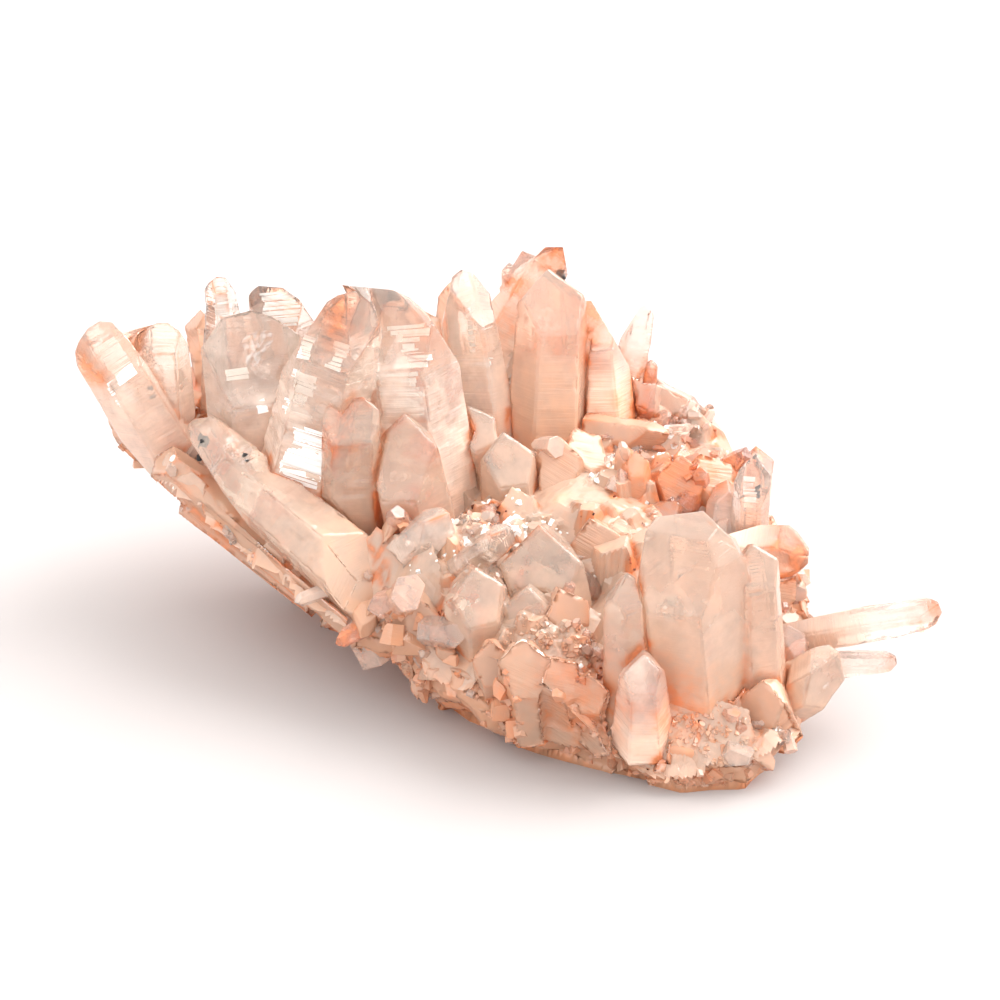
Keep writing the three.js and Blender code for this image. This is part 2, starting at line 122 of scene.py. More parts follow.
CLEAR, VEILED, MILKY = Habit.CLEAR, Habit.VEILED, Habit.MILKY
CRYSTALS = (
    Crystal("left_pair", (-65, -7, 31), (-72.5, -15.5, 54.5), 13.2, VEILED, 0.06, 0.7, 0.9),
    Crystal("left_pair", (-64, -6.5, 29), (-64, -7, 54), 9.6, VEILED, 0.06, 0.4, 0.8),
    Crystal("left_spire", (-58, 4, 32), (-60, 5, 58.5), 10, CLEAR, 0.3, 0.5, 0.6),
    Crystal("left_block", (-45, -4, 27), (-45.5, -7, 58.5), 18, VEILED, 0.06, 0.35),
    Crystal("left_clear", (-48, 11, 33), (-52, 11, 56.5), 11, CLEAR, 0.1, 0.15),
    Crystal("centre_pair", (-34, -10, 26), (-24, -8, 67.5), 15, VEILED, 0.45, 0.6, 0.8),
    Crystal("centre_pair", (-16, 1, 27), (-21.5, 2, 65), 17.5, VEILED, 0.25, 0.6, 0.8),
    Crystal("back_fractured", (-14, 21, 31), (-19.5, 22, 61.5), 11.8, VEILED, 0.08, 0.4),
    Crystal("back_milky", (-5, 25, 33), (-5.5, 28, 62), 13.4, MILKY, 0.06, 0.1),
    Crystal("back_tall", (-22, 37, 40), (-14, 45, 60), 9, VEILED, 0.12, 0.95),
    Crystal("back_tall", (-20, 40, 38), (-21, 40, 56), 4.2, VEILED, 0.05, 0.5),
    Crystal("back_rust", (0.5, 34, 33), (-3, 36, 54.5), 11.8, VEILED, 0.06, 0.9),
    Crystal("back_spike", (2, 40, 34), (4, 45, 52.5), 7, CLEAR, 0.15, 0.2),
    Crystal("back_thorn", (7, 40, 34), (7, 42, 42.5), 3.4, VEILED, 0.05, 0.6),
    Crystal("ridge_plank", (-4, 39, 37), (18, 44, 29), 11, MILKY, 0.15, 0.5),
    Crystal("right_column", (38, 18, 20), (38, 19, 38.5), 6.8, CLEAR, 0.12, 0.1),
    Crystal("right_stump", (33, 30, 25), (33, 32, 35.5), 6.4, VEILED, 0.08, 0.6),
    Crystal("right_knob", (39, 11, 26), (53, 13.5, 29), 10, VEILED, 0.06, 0.9, 0.8),
    Crystal("front_big", (44, -10, 11), (43.5, -17, 46.5), 17.4, MILKY, 0.08, 0.3, 0.5),
    Crystal("front_big", (52.5, -6, 12), (52, -9, 39.5), 9, MILKY, 0.08, 0.3, 0.5),
    Crystal("front_blade", (37, -21, 13), (37, -23, 37), 9, MILKY, 0.05, 0.2),
    Crystal("front_point", (40, -23, 10), (42, -28, 26), 9, VEILED, 0.12, 0.6),
    Crystal("right_long", (52, 7, 16), (75.5, 16, 22.5), 7.2, CLEAR, 0.05, 0.75, 0.7),
    Crystal("right_long_low", (54, 4, 12), (71, 9, 14.5), 5.3, CLEAR, 0.05, 0.6, 0.6),
    Crystal("right_corner", (57, -2, 11), (65, -1, 18), 9, MILKY, 0.06, 0.3),
    Crystal("left_lying", (-13, -22.5, 22), (-51, -17, 37.5), 12.8, MILKY, 0.3, 0.2, 0.8),
    Crystal("middle_slab", (-22, -12, 22), (-20, -15, 50), 10, MILKY, 0.2, 0.8),
    Crystal("middle_wedge", (-12, -6, 22), (-14, -11, 46.5), 12, MILKY, 0.1, 0.4),
    Crystal("middle_bundle", (-14, -18, 19), (0, -17, 35.5), 8, VEILED, 0.2, 0.4),
    Crystal("middle_bundle", (-6, -16, 18), (11, -15, 34.5), 6.4, VEILED, 0.2, 0.5),
    Crystal("front_round", (8, -20, 14), (10, -25, 31.5), 10.4, MILKY, 0.06, 0.4),
    Crystal("front_round", (15, -16, 14), (17, -21, 27.5), 7.8, VEILED, 0.06, 0.5),
    Crystal("middle_cap", (16, -10, 17), (15, -14, 34.5), 14, MILKY, 0.06, 0.5),
    Crystal("middle_core", (-1, 6, 27), (-1, 4, 41), 9, MILKY, 0.06, 0.3),
    Crystal("middle_core", (-9, 9, 28), (-10, 7, 43), 8, MILKY, 0.06, 0.3),
)


# The small faces that blunt a crystal's end, by its node and its number there: a point on each face
# and the direction that it faces.
BLUNTING = {
    ("left_lying", 0): (
        ((-41.5, -17.8, 25.3), (-0.525, -0.686, -0.503)),
        ((-48.0, -17.7, 32.7), (-0.575, -0.686, -0.445)),
        ((-51.9, -17.2, 38.3), (-0.781, -0.620, -0.074)),
        ((-51.7, -15.8, 40.4), (-0.744, -0.175, 0.645)),
        ((-50.0, -14.1, 41.3), (-0.211, 0.366, 0.907)),
        ((-46.0, -12.5, 39.0), (0.350, 0.643, 0.682)),
        ((-38.6, -10.7, 33.7), (0.330, 0.637, 0.696)),
        ((-15.0, -24.0, 25.0), (0.752, -0.451, 0.481)),
        ((-14.5, -29.0, 20.0), (0.500, -0.800, -0.330)),
    ),
    ("front_big", 0): (
        ((43.7, -16.6, 44.2), (0.08, -0.38, 0.92)),
        ((49.5, -18.0, 40.5), (0.80, -0.30, 0.52)),
        ((38.7, -22.2, 41.7), (-0.912, -0.391, 0.125)),
        ((39.0, -20.2, 45.0), (-0.846, -0.133, 0.516)),
        ((42.6, -17.4, 46.6), (-0.340, 0.330, 0.881)),
        ((48.4, -15.4, 45.2), (0.460, 0.592, 0.662)),
        ((52.0, -15.7, 41.9), (0.725, 0.564, 0.395)),
    ),
    ("left_pair", 0): (
        ((-72.2, -16.2, 53.2), (0.25, -0.60, 0.76)),
        ((-66.0, -20.8, 37.1), (-0.471, -0.693, -0.546)),
        ((-69.7, -20.8, 41.6), (-0.598, -0.700, -0.389)),
        ((-72.5, -20.6, 45.6), (-0.624, -0.699, -0.351)),
        ((-73.6, -20.2, 47.8), (-0.775, -0.632, -0.020)),
        ((-73.7, -19.1, 49.9), (-0.815, -0.441, 0.376)),
        ((-73.2, -17.4, 52.1), (-0.768, -0.298, 0.567)),
        ((-72.1, -15.7, 53.6), (-0.574, -0.007, 0.819)),
        ((-70.6, -14.3, 53.9), (-0.130, 0.391, 0.911)),
        ((-68.2, -13.4, 52.3), (0.452, 0.670, 0.590)),
        ((-65.5, -13.0, 49.3), (0.539, 0.684, 0.492)),
    ),
    ("centre_pair", 1): (
        ((-19.0, -1.5, 62.5), (0.55, -0.35, 0.76)),
        ((-24.0, 0.2, 64.6), (-0.113, 0.382, 0.917)),
        ((-20.4, 2.1, 63.7), (0.187, 0.527, 0.829)),
        ((-17.4, 2.9, 61.8), (0.421, 0.599, 0.681)),
        ((-13.8, 3.1, 58.0), (0.616, 0.620, 0.486)),
    ),
    ("left_pair", 1): (
        ((-65.6, -10.0, 50.6), (-0.827, -0.438, 0.352)),
        ((-64.9, -8.6, 52.3), (-0.566, 0.015, 0.824)),
        ((-63.6, -7.4, 52.6), (-0.198, 0.343, 0.918)),
        ((-61.8, -6.5, 51.9), (0.289, 0.610, 0.738)),
        ((-59.7, -6.2, 49.6), (0.585, 0.675, 0.450)),
    ),
    ("left_spire", 0): (
        ((-61.8, 0.2, 51.8), (-0.840, -0.488, 0.239)),
        ((-61.5, 2.4, 55.6), (-0.811, -0.347, 0.470)),
        ((-60.7, 3.8, 57.2), (-0.644, -0.078, 0.761)),
        ((-59.5, 4.9, 57.6), (-0.108, 0.386, 0.916)),
        ((-57.8, 5.4, 56.3), (0.560, 0.656, 0.506)),
        ((-56.2, 5.3, 53.8), (0.706, 0.648, 0.288)),
    ),
    ("left_clear", 0): (
        ((-55.4, 7.1, 53.6), (-0.848, -0.471, 0.243)),
        ((-54.9, 8.3, 55.1), (-0.649, -0.069, 0.758)),
        ((-52.6, 10.0, 55.4), (-0.126, 0.377, 0.918)),
        ((-49.3, 11.7, 54.1), (0.323, 0.593, 0.737)),
        ((-46.6, 12.1, 51.6), (0.588, 0.645, 0.488)),
    ),
    ("left_block", 0): (
        ((-49.9, -11.7, 55.6), (-0.784, -0.268, 0.560)),
        ((-47.1, -8.3, 58.1), (-0.402, 0.183, 0.897)),
        ((-43.3, -5.8, 58.0), (0.087, 0.506, 0.858)),
        ((-39.2, -4.1, 55.7), (0.310, 0.598, 0.739)),
    ),
    ("centre_pair", 0): (
        ((-27.9, -12.8, 63.1), (-0.805, -0.264, 0.531)),
        ((-25.8, -9.8, 66.4), (-0.603, 0.005, 0.798)),
        ((-23.7, -7.8, 67.0), (-0.391, 0.194, 0.900)),
        ((-23.2, -7.5, 66.9), (0.338, 0.614, 0.713)),
        ((-20.4, -7.1, 65.5), (0.755, 0.593, 0.267)),
    ),
    ("back_fractured", 0): (
        ((-21.3, 19.0, 57.6), (-0.880, -0.426, 0.211)),
        ((-20.8, 20.8, 60.6), (-0.677, -0.053, 0.734)),
        ((-19.2, 21.9, 60.9), (0.071, 0.464, 0.883)),
        ((-16.6, 22.5, 58.9), (0.554, 0.602, 0.576)),
        ((-14.1, 22.0, 55.1), (0.805, 0.562, 0.192)),
    ),
    ("back_tall", 0): (
        ((-17.3, 41.5, 56.6), (-0.748, -0.116, 0.653)),
        ((-14.4, 44.2, 58.7), (-0.186, 0.323, 0.928)),
        ((-12.1, 44.4, 56.4), (0.828, 0.533, 0.173)),
    ),
    ("back_rust", 0): (
        ((-5.4, 33.8, 52.5), (-0.758, -0.101, 0.645)),
        ((-3.2, 35.5, 53.8), (-0.194, 0.337, 0.921)),
        ((0.2, 35.9, 50.9), (0.673, 0.579, 0.460)),
        ((3.4, 35.5, 46.9), (0.653, 0.582, 0.486)),
    ),
    ("back_spike", 0): (
        ((2.3, 41.9, 48.1), (-0.855, -0.213, 0.473)),
        ((3.8, 44.3, 51.2), (-0.571, 0.096, 0.815)),
        ((4.9, 44.6, 50.7), (0.579, 0.571, 0.582)),
        ((6.2, 44.2, 48.6), (0.839, 0.512, 0.182)),
        ((6.7, 43.0, 45.6), (0.910, 0.363, -0.201)),
    ),
    ("right_column", 0): (
        ((36.0, 17.2, 37.0), (-0.907, -0.237, 0.347)),
        ((37.3, 19.2, 39.4), (-0.777, -0.025, 0.628)),
        ((39.1, 20.6, 40.7), (-0.035, 0.453, 0.891)),
        ((40.4, 20.8, 39.8), (0.757, 0.539, 0.370)),
        ((41.4, 19.3, 36.3), (0.913, 0.408, -0.009)),
    ),
    ("right_knob", 0): (
        ((42.1, 10.1, 31.8), (-0.473, 0.256, 0.843)),
        ((46.0, 12.4, 32.7), (-0.227, 0.394, 0.891)),
        ((48.4, 13.2, 32.1), (0.398, 0.575, 0.715)),
        ((50.5, 13.2, 30.3), (0.618, 0.573, 0.538)),
        ((51.9, 12.5, 28.1), (0.920, 0.392, -0.014)),
        ((51.3, 10.9, 25.8), (0.806, 0.012, -0.591)),
    ),
    ("right_long", 0): (
        ((61.4, 9.8, 21.9), (-0.430, 0.318, 0.845)),
        ((70.2, 14.9, 24.2), (-0.284, 0.392, 0.875)),
        ((72.7, 15.8, 24.0), (0.173, 0.539, 0.825)),
        ((74.3, 15.8, 22.9), (0.769, 0.511, 0.383)),
        ((74.6, 15.0, 21.3), (0.930, 0.159, -0.331)),
        ((73.1, 13.2, 19.4), (0.691, -0.151, -0.707)),
        ((67.8, 10.0, 17.5), (0.374, -0.361, -0.854)),
    ),
    ("right_long_low", 0): (
        ((64.9, 7.6, 16.4), (-0.200, 0.445, 0.873)),
        ((68.9, 9.1, 16.0), (0.226, 0.567, 0.792)),
        ((70.0, 9.0, 15.1), (0.880, 0.446, 0.165)),
        ((69.9, 8.2, 13.9), (0.851, 0.017, -0.524)),
        ((67.4, 6.5, 12.9), (0.368, -0.374, -0.851)),
    ),
}
SHORT = 22.0  # crystals below this length are milky all the way up
BLUNT = 0.6  # how much a blunted end is drawn out before its small faces cut it
END_RISE = 0.635  # how high the end faces of a regular crystal are, as a share of its width


@dataclass(frozen=True)
class Stain:
    """A patch of iron stain: its middle, how far it reaches, and how strong it is."""

    middle: tuple
    reach: float
    strength: float


STAINS = (
    Stain((-71, -19.6, 46.2), 4.2, 1.0),
    Stain((-14, 44, 60), 7, 1.0),
    Stain((-18, 38, 50), 7, 0.6),
    Stain((-4, 33, 50), 8, 0.9),
    Stain((-25, -12, 62), 5, 0.7),
    Stain((-13, 0, 60), 6, 0.5),
    Stain((-14, 20, 58), 5, 0.6),
    Stain((75, 16, 22), 5, 0.9),
    Stain((71, 9, 14), 4, 0.7),
    Stain((52, 13, 30), 7, 0.9),
    Stain((24, 22, 33), 9, 1.0),
    Stain((30, 27, 31), 7, 0.7),
    Stain((-9, -12, 24), 6, 0.8),
    Stain((44, -20, 14), 8, 0.6),
    Stain((30, -27, 16), 9, 0.6),
    Stain((8, 36, 35), 7, 0.6),
)


def linear(colour: str) -> tuple:
    """Turns an sRGB hex colour, such as "#f2c4a6", into Blender's linear one, with an alpha of 1."""
    shares = [int(colour[i : i + 2], 16) / 255 for i in (1, 3, 5)]
    return (*(s / 12.92 if s <= 0.04045 else ((s + 0.055) / 1.055) ** 2.4 for s in shares), 1.0)


def lattice(cells: np.ndarray, seed: int) -> np.ndarray:
    """Gives each whole-numbered cell its own repeatable number.

    Args:
        cells: Whole numbers, one row of three for each cell.
        seed: Which set of numbers.

    Returns:
        A number from 0 to 1 for each row.
    """
    cells = cells.astype(np.uint64)
    mixed = cells[:, 0] * np.uint64(73856093) ^ cells[:, 1] * np.uint64(19349663)
    mixed = mixed ^ cells[:, 2] * np.uint64(83492791) ^ np.uint64(seed * 2654435761)
    mixed = (mixed ^ (mixed >> np.uint64(13))) * np.uint64(1274126177)
    mixed = mixed ^ (mixed >> np.uint64(16))
    return (mixed & np.uint64(0xFFFFFF)).astype(float) / 0xFFFFFF


def cloud(points: np.ndarray, size: float, seed: int) -> np.ndarray:
    """Smooth repeatable noise in space.

    Args:
        points: Where it is read, in mm.
        size: The width of one lump, in mm.
        seed: Which noise.

    Returns:
        A value from -1 to 1 for each point.
    """
    places = points / size + 1000.0
    cells = np.floor(places)
    share = places - cells
    share = share * share * (3 - 2 * share)
    total = np.zeros(len(points))
    for corner in np.ndindex(2, 2, 2):
        weight = np.where(corner, share, 1 - share).prod(axis=1)
        total += weight * lattice(cells + corner, seed)
    return total * 2 - 1


def fractal(points: np.ndarray, size: float, seed: int, octaves: int = 3) -> np.ndarray:
    """Noise with lumps of several widths, each half as wide and half as high as the last.

    Args:
        points: Where it is read, in mm.
        size: The width of the widest lump, in mm.
        seed: Which noise.
        octaves: How many widths.

    Returns:
        A value of about -1 to 1 for each point.
    """
    layers = [cloud(points, size / 2**k, seed + k) / 2**k for k in range(octaves)]
    return sum(layers) / sum(1 / 2**k for k in range(octaves))


def smooth(low: float, high: float, values: np.ndarray) -> np.ndarray:
    """Eases values from 0 at low to 1 at high."""
    share = np.clip((values - low) / (high - low), 0, 1)
    return share * share * (3 - 2 * share)


def depth_inside(points: np.ndarray, starts: np.ndarray, ends: np.ndarray) -> tuple:
    """How far points in the plane lie inside an outline.

    Args:
        points: The points, two numbers each.
        starts: The start of each of the outline's segments.
        ends: The end of each.

    Returns:
        The distance from each point to each segment, and whether the point is inside.
    """
    along = ends - starts
    offset = points[:, None] - starts[None]
    share = np.clip((offset * along).sum(2) / np.maximum((along**2).sum(1), 1e-12), 0, 1)
    gaps = np.linalg.norm(offset - share[..., None] * along, axis=2)
    x, y = points[:, :1], points[:, 1:]
    above = (starts[:, 1] > y) != (ends[:, 1] > y)
    rise = np.where(np.abs(along[:, 1]) < 1e-12, 1e-12, along[:, 1])
    crossing = x < along[:, 0] * (y - starts[:, 1]) / rise + starts[:, 0]
    return gaps, (above & crossing).sum(1) % 2 == 1


@dataclass
class Skin:
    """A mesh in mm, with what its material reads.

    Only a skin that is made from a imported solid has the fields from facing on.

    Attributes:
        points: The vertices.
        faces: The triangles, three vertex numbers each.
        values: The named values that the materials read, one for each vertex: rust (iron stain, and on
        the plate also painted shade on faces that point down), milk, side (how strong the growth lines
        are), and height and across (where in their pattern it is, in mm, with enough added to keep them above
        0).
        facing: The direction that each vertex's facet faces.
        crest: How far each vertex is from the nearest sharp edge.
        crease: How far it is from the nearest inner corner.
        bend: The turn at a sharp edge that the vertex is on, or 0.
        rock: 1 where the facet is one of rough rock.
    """

    points: np.ndarray
    faces: np.ndarray
    values: dict = field(default_factory=dict)
    facing: np.ndarray | None = None
    crest: np.ndarray | None = None
    crease: np.ndarray | None = None
    bend: np.ndarray | None = None
    rock: np.ndarray | None = None

    def normals(self) -> np.ndarray:
        """Works out which way the surface faces, from the triangles round each vertex.

        Returns:
            A unit vector for each vertex.
        """
        corners = self.points[self.faces]
        across = np.cross(corners[:, 1] - corners[:, 0], corners[:, 2] - corners[:, 0])
        total = np.zeros_like(self.points)
        for k in range(3):
            np.add.at(total, self.faces[:, k], across)
        return total / np.maximum(np.linalg.norm(total, axis=1, keepdims=True), 1e-12)


FAR = 9.0  # the distance in mm that stands for none near
SHARP = math.radians(20)  # an edge or inner corner that turns more than this counts as one
ROCK_BEND = math.radians(33)  # rough rock has no sharper edge than this inside a patch
ROCK_PATCH = 16  # the least number of facets in such a patch
SAME_PLACE = 2e-6  # vertices that are this close, in metres, are one
SAME_PLANE = math.radians(0.6)  # faces that turn less than this are one facet


class FacetedSolid:
    """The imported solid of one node, as flat facets, from which the fine skin is made."""

    def __init__(self, node: str) -> None:
        """Reads the node's mesh and joins its triangles into facets.

        Args:
            node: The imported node's name.
        """
        self.mesh = bmesh.new()
        self.mesh.from_mesh(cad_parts[node].data)
        bmesh.ops.remove_doubles(self.mesh, verts=self.mesh.verts, dist=SAME_PLACE)
        bmesh.ops.dissolve_limit(
            self.mesh, angle_limit=SAME_PLANE, verts=self.mesh.verts, edges=self.mesh.edges
        )
        self.mesh.normal_update()
        for elements in (self.mesh.verts, self.mesh.edges, self.mesh.faces):
            elements.index_update()
            elements.ensure_lookup_table()

    def bends(self) -> np.ndarray:
        """The turn at each edge in radians, above 0 where it is convex."""
        return np.array([e.calc_face_angle_signed(0) for e in self.mesh.edges])

    def rock_facets(self, bends: np.ndarray) -> np.ndarray:
        """Finds rough rock: large patches of facets with no sharp edge between them.

        Args:
            bends: The turn at each edge.

        Returns:
            1 for each facet of rock, 0 for the rest.
        """
        patch = np.full(len(self.mesh.faces), -1)
        rock = np.zeros(len(self.mesh.faces))
        for start in self.mesh.faces:
            if patch[start.index] >= 0:
                continue
            members, waiting = [], [start]
            patch[start.index] = start.index
            while waiting:
                face = waiting.pop()
                members.append(face.index)
                for edge in face.edges:
                    if abs(bends[edge.index]) > ROCK_BEND:
                        continue
                    for other in edge.link_faces:
                        if patch[other.index] < 0:
                            patch[other.index] = start.index
                            waiting.append(other)
            rock[members] = len(members) >= ROCK_PATCH
        return rock

    def skin(self, spacing: float, bevel: float) -> Skin:
        """Makes the fine mesh, with a narrow strip of faces along each sharp edge.

        Args:
            spacing: The distance between vertices.
            bevel: The width of the strip.

        Returns:
            The skin, whose vertices all lie on the solid's facets.
        """
        bends = self.bends()
        rock = self.rock_facets(bends)
        corners = np.array([v.co for v in self.mesh.verts]) / MM
        points = [corners]
        count = len(corners)
        on_edge = {}
        edge_bend = np.zeros(count)
        extra_bend = []
        for edge in self.mesh.edges:
            first, last = (v.index for v in edge.verts)
            steps = max(1, round(np.linalg.norm(corners[last] - corners[first]) / spacing))
            shares = np.arange(1, steps)[:, None] / steps
            points.append(corners[first] + shares * (corners[last] - corners[first]))
            on_edge[edge.index] = (first, list(range(count, count + steps - 1)))
            count += steps - 1
            turn = max(0.0, bends[edge.index]) * (bends[edge.index] > SHARP)
            extra_bend.append(np.full(steps - 1, turn))
            for end in (first, last):
                edge_bend[end] = max(edge_bend[end], turn)
        bend = [edge_bend, *extra_bend]
        table = np.vstack(points)
        points = [table]
        facing = np.zeros((count, 3))
        crest = np.full(count, FAR)
        crease = np.full(count, FAR)
        rocky = np.zeros(count)
        rows = {"facing": [], "crest": [], "crease": [], "rock": []}
        triangles = []
        for face in self.mesh.faces:
            normal = np.array(face.normal)
            side = np.cross(normal, (0.36, 0.48, 0.8))
            side /= np.linalg.norm(side)
            basis = np.stack([side, np.cross(normal, side)])
            loop, sharp, inner = [], [], []
            for corner in face.loops:
                first, between = on_edge[corner.edge.index]
                begins = corner.vert.index == first
                run = [corner.vert.index, *(between if begins else between[::-1])]
                loop += run
                sharp += [bends[corner.edge.index] > SHARP] * len(run)
                inner += [bends[corner.edge.index] < -SHARP] * len(run)
            outline = table[loop] @ basis.T
            sharp, inner = np.array(sharp), np.array(inner)
            ends = np.roll(outline, -1, axis=0)
            low, high = outline.min(0), outline.max(0)
            across = np.arange(low[0], high[0] + spacing, spacing)
            up = np.arange(low[1], high[1] + spacing, spacing * 0.87)
            grid = np.stack(np.meshgrid(across, up), axis=-1)
            grid[1::2, :, 0] += spacing / 2
            grid = grid.reshape(-1, 2)
            spread = np.stack([np.sin(grid[:, 0] * 91.7 + grid[:, 1] * 37.3), np.cos(grid @ (53.1, 71.9))])
            grid = grid + spread.T * spacing * 0.12
            inwards = np.stack([-(ends - outline)[:, 1], (ends - outline)[:, 0]], axis=1)
            lengths = np.maximum(np.linalg.norm(inwards, axis=1, keepdims=True), 1e-9)
            strip = (outline + ends)[sharp] / 2 + (inwards / lengths)[sharp] * bevel
            inside = []
            for group, least in ((strip, 0.8 * bevel), (grid, bevel + 0.35 * spacing)):
                if len(group):
                    gaps, within = depth_inside(group, outline, ends)
                    inside.append(group[within & (gaps.min(1) > least)])
            fill = np.vstack(inside) if inside else np.zeros((0, 2))
            flat = np.vstack([outline, fill])
            made = delaunay_2d_cdt(
                [Vector(p) for p in flat], [], [list(range(len(loop)))], 1, 1e-7
            )
            numbers = np.array([*loop, *range(count, count + len(fill))])
            known = [o[0] if o else -1 for o in made[3]]
            for triple in made[2]:
                picked = [known[k] for k in triple]
                if len(picked) == 3 and min(picked) >= 0:
                    triangles.append(numbers[picked])
            height = table[loop[0]] @ normal
            points.append(fill @ basis + height * normal)
            gaps, _ = depth_inside(flat, outline, ends)
            to_crest = np.where(sharp, gaps, FAR).min(1)
            to_crease = np.where(inner, gaps, FAR).min(1)
            crest[loop] = np.minimum(crest[loop], to_crest[: len(loop)])
            crease[loop] = np.minimum(crease[loop], to_crease[: len(loop)])
            facing[loop] += normal
            rocky[loop] = np.maximum(rocky[loop], rock[face.index])
            rows["facing"].append(np.tile(normal, (len(fill), 1)))
            rows["crest"].append(to_crest[len(loop) :])
            rows["crease"].append(to_crease[len(loop) :])
            rows["rock"].append(np.full(len(fill), rock[face.index]))
            count += len(fill)
        facing /= np.maximum(np.linalg.norm(facing, axis=1, keepdims=True), 1e-9)
        return Skin(
            np.vstack(points),
            np.array(triangles),
            facing=np.vstack([facing, *rows["facing"]]),
            crest=np.concatenate([crest, *rows["crest"]]),
            crease=np.concatenate([crease, *rows["crease"]]),
            bend=np.concatenate([*bend, np.zeros(count - len(table))]),
            rock=np.concatenate([rocky, *rows["rock"]]),
        )


def stained(points: np.ndarray) -> np.ndarray:
    """Reads the listed patches of stain.

    Args:
        points: The points, in mm.

    Returns:
        How strongly each is stained, from 0 to 1.
    """
    total = np.zeros(len(points))
    for stain in STAINS:
        away = np.linalg.norm(points - np.array(stain.middle) - GROWTH_TO_ROW, axis=1)
        total = np.maximum(total, stain.strength * np.exp(-((away / stain.reach) ** 2)))
    return total


def bare_front(places: np.ndarray) -> np.ndarray:
    """How much of the plate's granular front face shows at each place, from 0 to 1."""
    x, y = (places[:, :2] - GROWTH_TO_ROW[:2]).T
    return smooth(12, 26, x) * smooth(-15, -22, y)


def solid_shapes() -> dict:
    """The vertices, in mm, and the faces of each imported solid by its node's name."""
    return {
        name: ([v.co / MM for v in node.data.vertices], [tuple(p.vertices) for p in node.data.polygons])
        for name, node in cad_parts.items()
    }


SHAPES = solid_shapes()


def solids_tree(skip: str = "") -> BVHTree:
    """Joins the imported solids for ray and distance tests.

    Args:
        skip: The node that is left out.

    Returns:
        The tree, in mm.
    """
    points, faces = [], []
    for name, (places, polygons) in SHAPES.items():
        if name != skip:
            start = len(points)
            points += places
            faces += [[start + i for i in polygon] for polygon in polygons]
    return BVHTree.FromPolygons(points, faces)


SOLIDS = solids_tree()
LEAST_AIR = 1.2  # how far a surface must be clear of other solids for a crystal to grow on it
NEAR = 3.0  # the greatest gap that is measured
CONTACT = 0.9  # how far stain and dirt reach from where two solids meet
EDGE_WEAR = 0.8  # how much of a bevel's depth a worn edge has


def covered(point: np.ndarray, normal: np.ndarray) -> bool:
    """True where another solid lies close in front of a surface."""
    start = Vector(point + normal * 0.15)
    return SOLIDS.ray_cast(start, Vector(normal), LEAST_AIR)[0] is not None


def gaps_to_others(points: np.ndarray, node: str) -> np.ndarray:
    """How far points on one node are from the other solids.

    Args:
        points: The points, in mm.
        node: The node that they are on.

    Returns:
        The distances in mm, at most NEAR.
    """
    tree = solids_tree(node)
    found = (tree.find_nearest(point, NEAR)[3] for point in points)
    return np.array([NEAR if gap is None else gap for gap in found])


def contact_at(points: np.ndarray, node: str) -> np.ndarray:
    """How close points on a node are to another solid, up to 1 where they meet."""
    return np.exp(-((gaps_to_others(points, node) / CONTACT) ** 2))


def edge_depth(skin: Skin, bevel: float) -> np.ndarray:
    """How far each vertex on a sharp edge is set in, so that the strips beside it meet in a bevel."""
    return np.where(skin.bend > 0, bevel * np.sin(skin.bend / 2) * EDGE_WEAR, 0)


def make_piece(
    name: str, skin: Skin, material: bpy.types.Material, flat: bool = False
) -> bpy.types.Object:
    """Puts a skin into the scene as a piece that rides on the one body.

    Args:
        name: The piece's name.
        skin: Its mesh, in mm.
        material: Its finish.
        flat: Whether each triangle is shaded as a crisp facet.

    Returns:
        The new object.
    """
    low, high = (np.array(corner) / MM for corner in CAD_BOX)
    points = np.clip(skin.points, low, high) * MM
    mesh = bpy.data.meshes.new(name)
    mesh.vertices.add(len(points))
    mesh.vertices.foreach_set("co", points.astype(np.float32).ravel())
    mesh.loops.add(skin.faces.size)
    mesh.loops.foreach_set("vertex_index", skin.faces.astype(np.int32).ravel())
    mesh.polygons.add(len(skin.faces))
    mesh.polygons.foreach_set("loop_start", np.arange(0, skin.faces.size, 3, dtype=np.int32))
    mesh.update(calc_edges=True)
    mesh.validate()
    if flat:
        mesh.shade_flat()
    for label, values in skin.values.items():
        attribute = mesh.attributes.new(label, "FLOAT", "POINT")
        attribute.data.foreach_set("value", values.astype(np.float32))
    mesh.materials.append(material)
    piece = bpy.data.objects.new(name, mesh)
    bpy.context.scene.collection.objects.link(piece)
    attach(piece, "root")
    log.info("%s: %d triangles", name, len(skin.faces))
    return piece


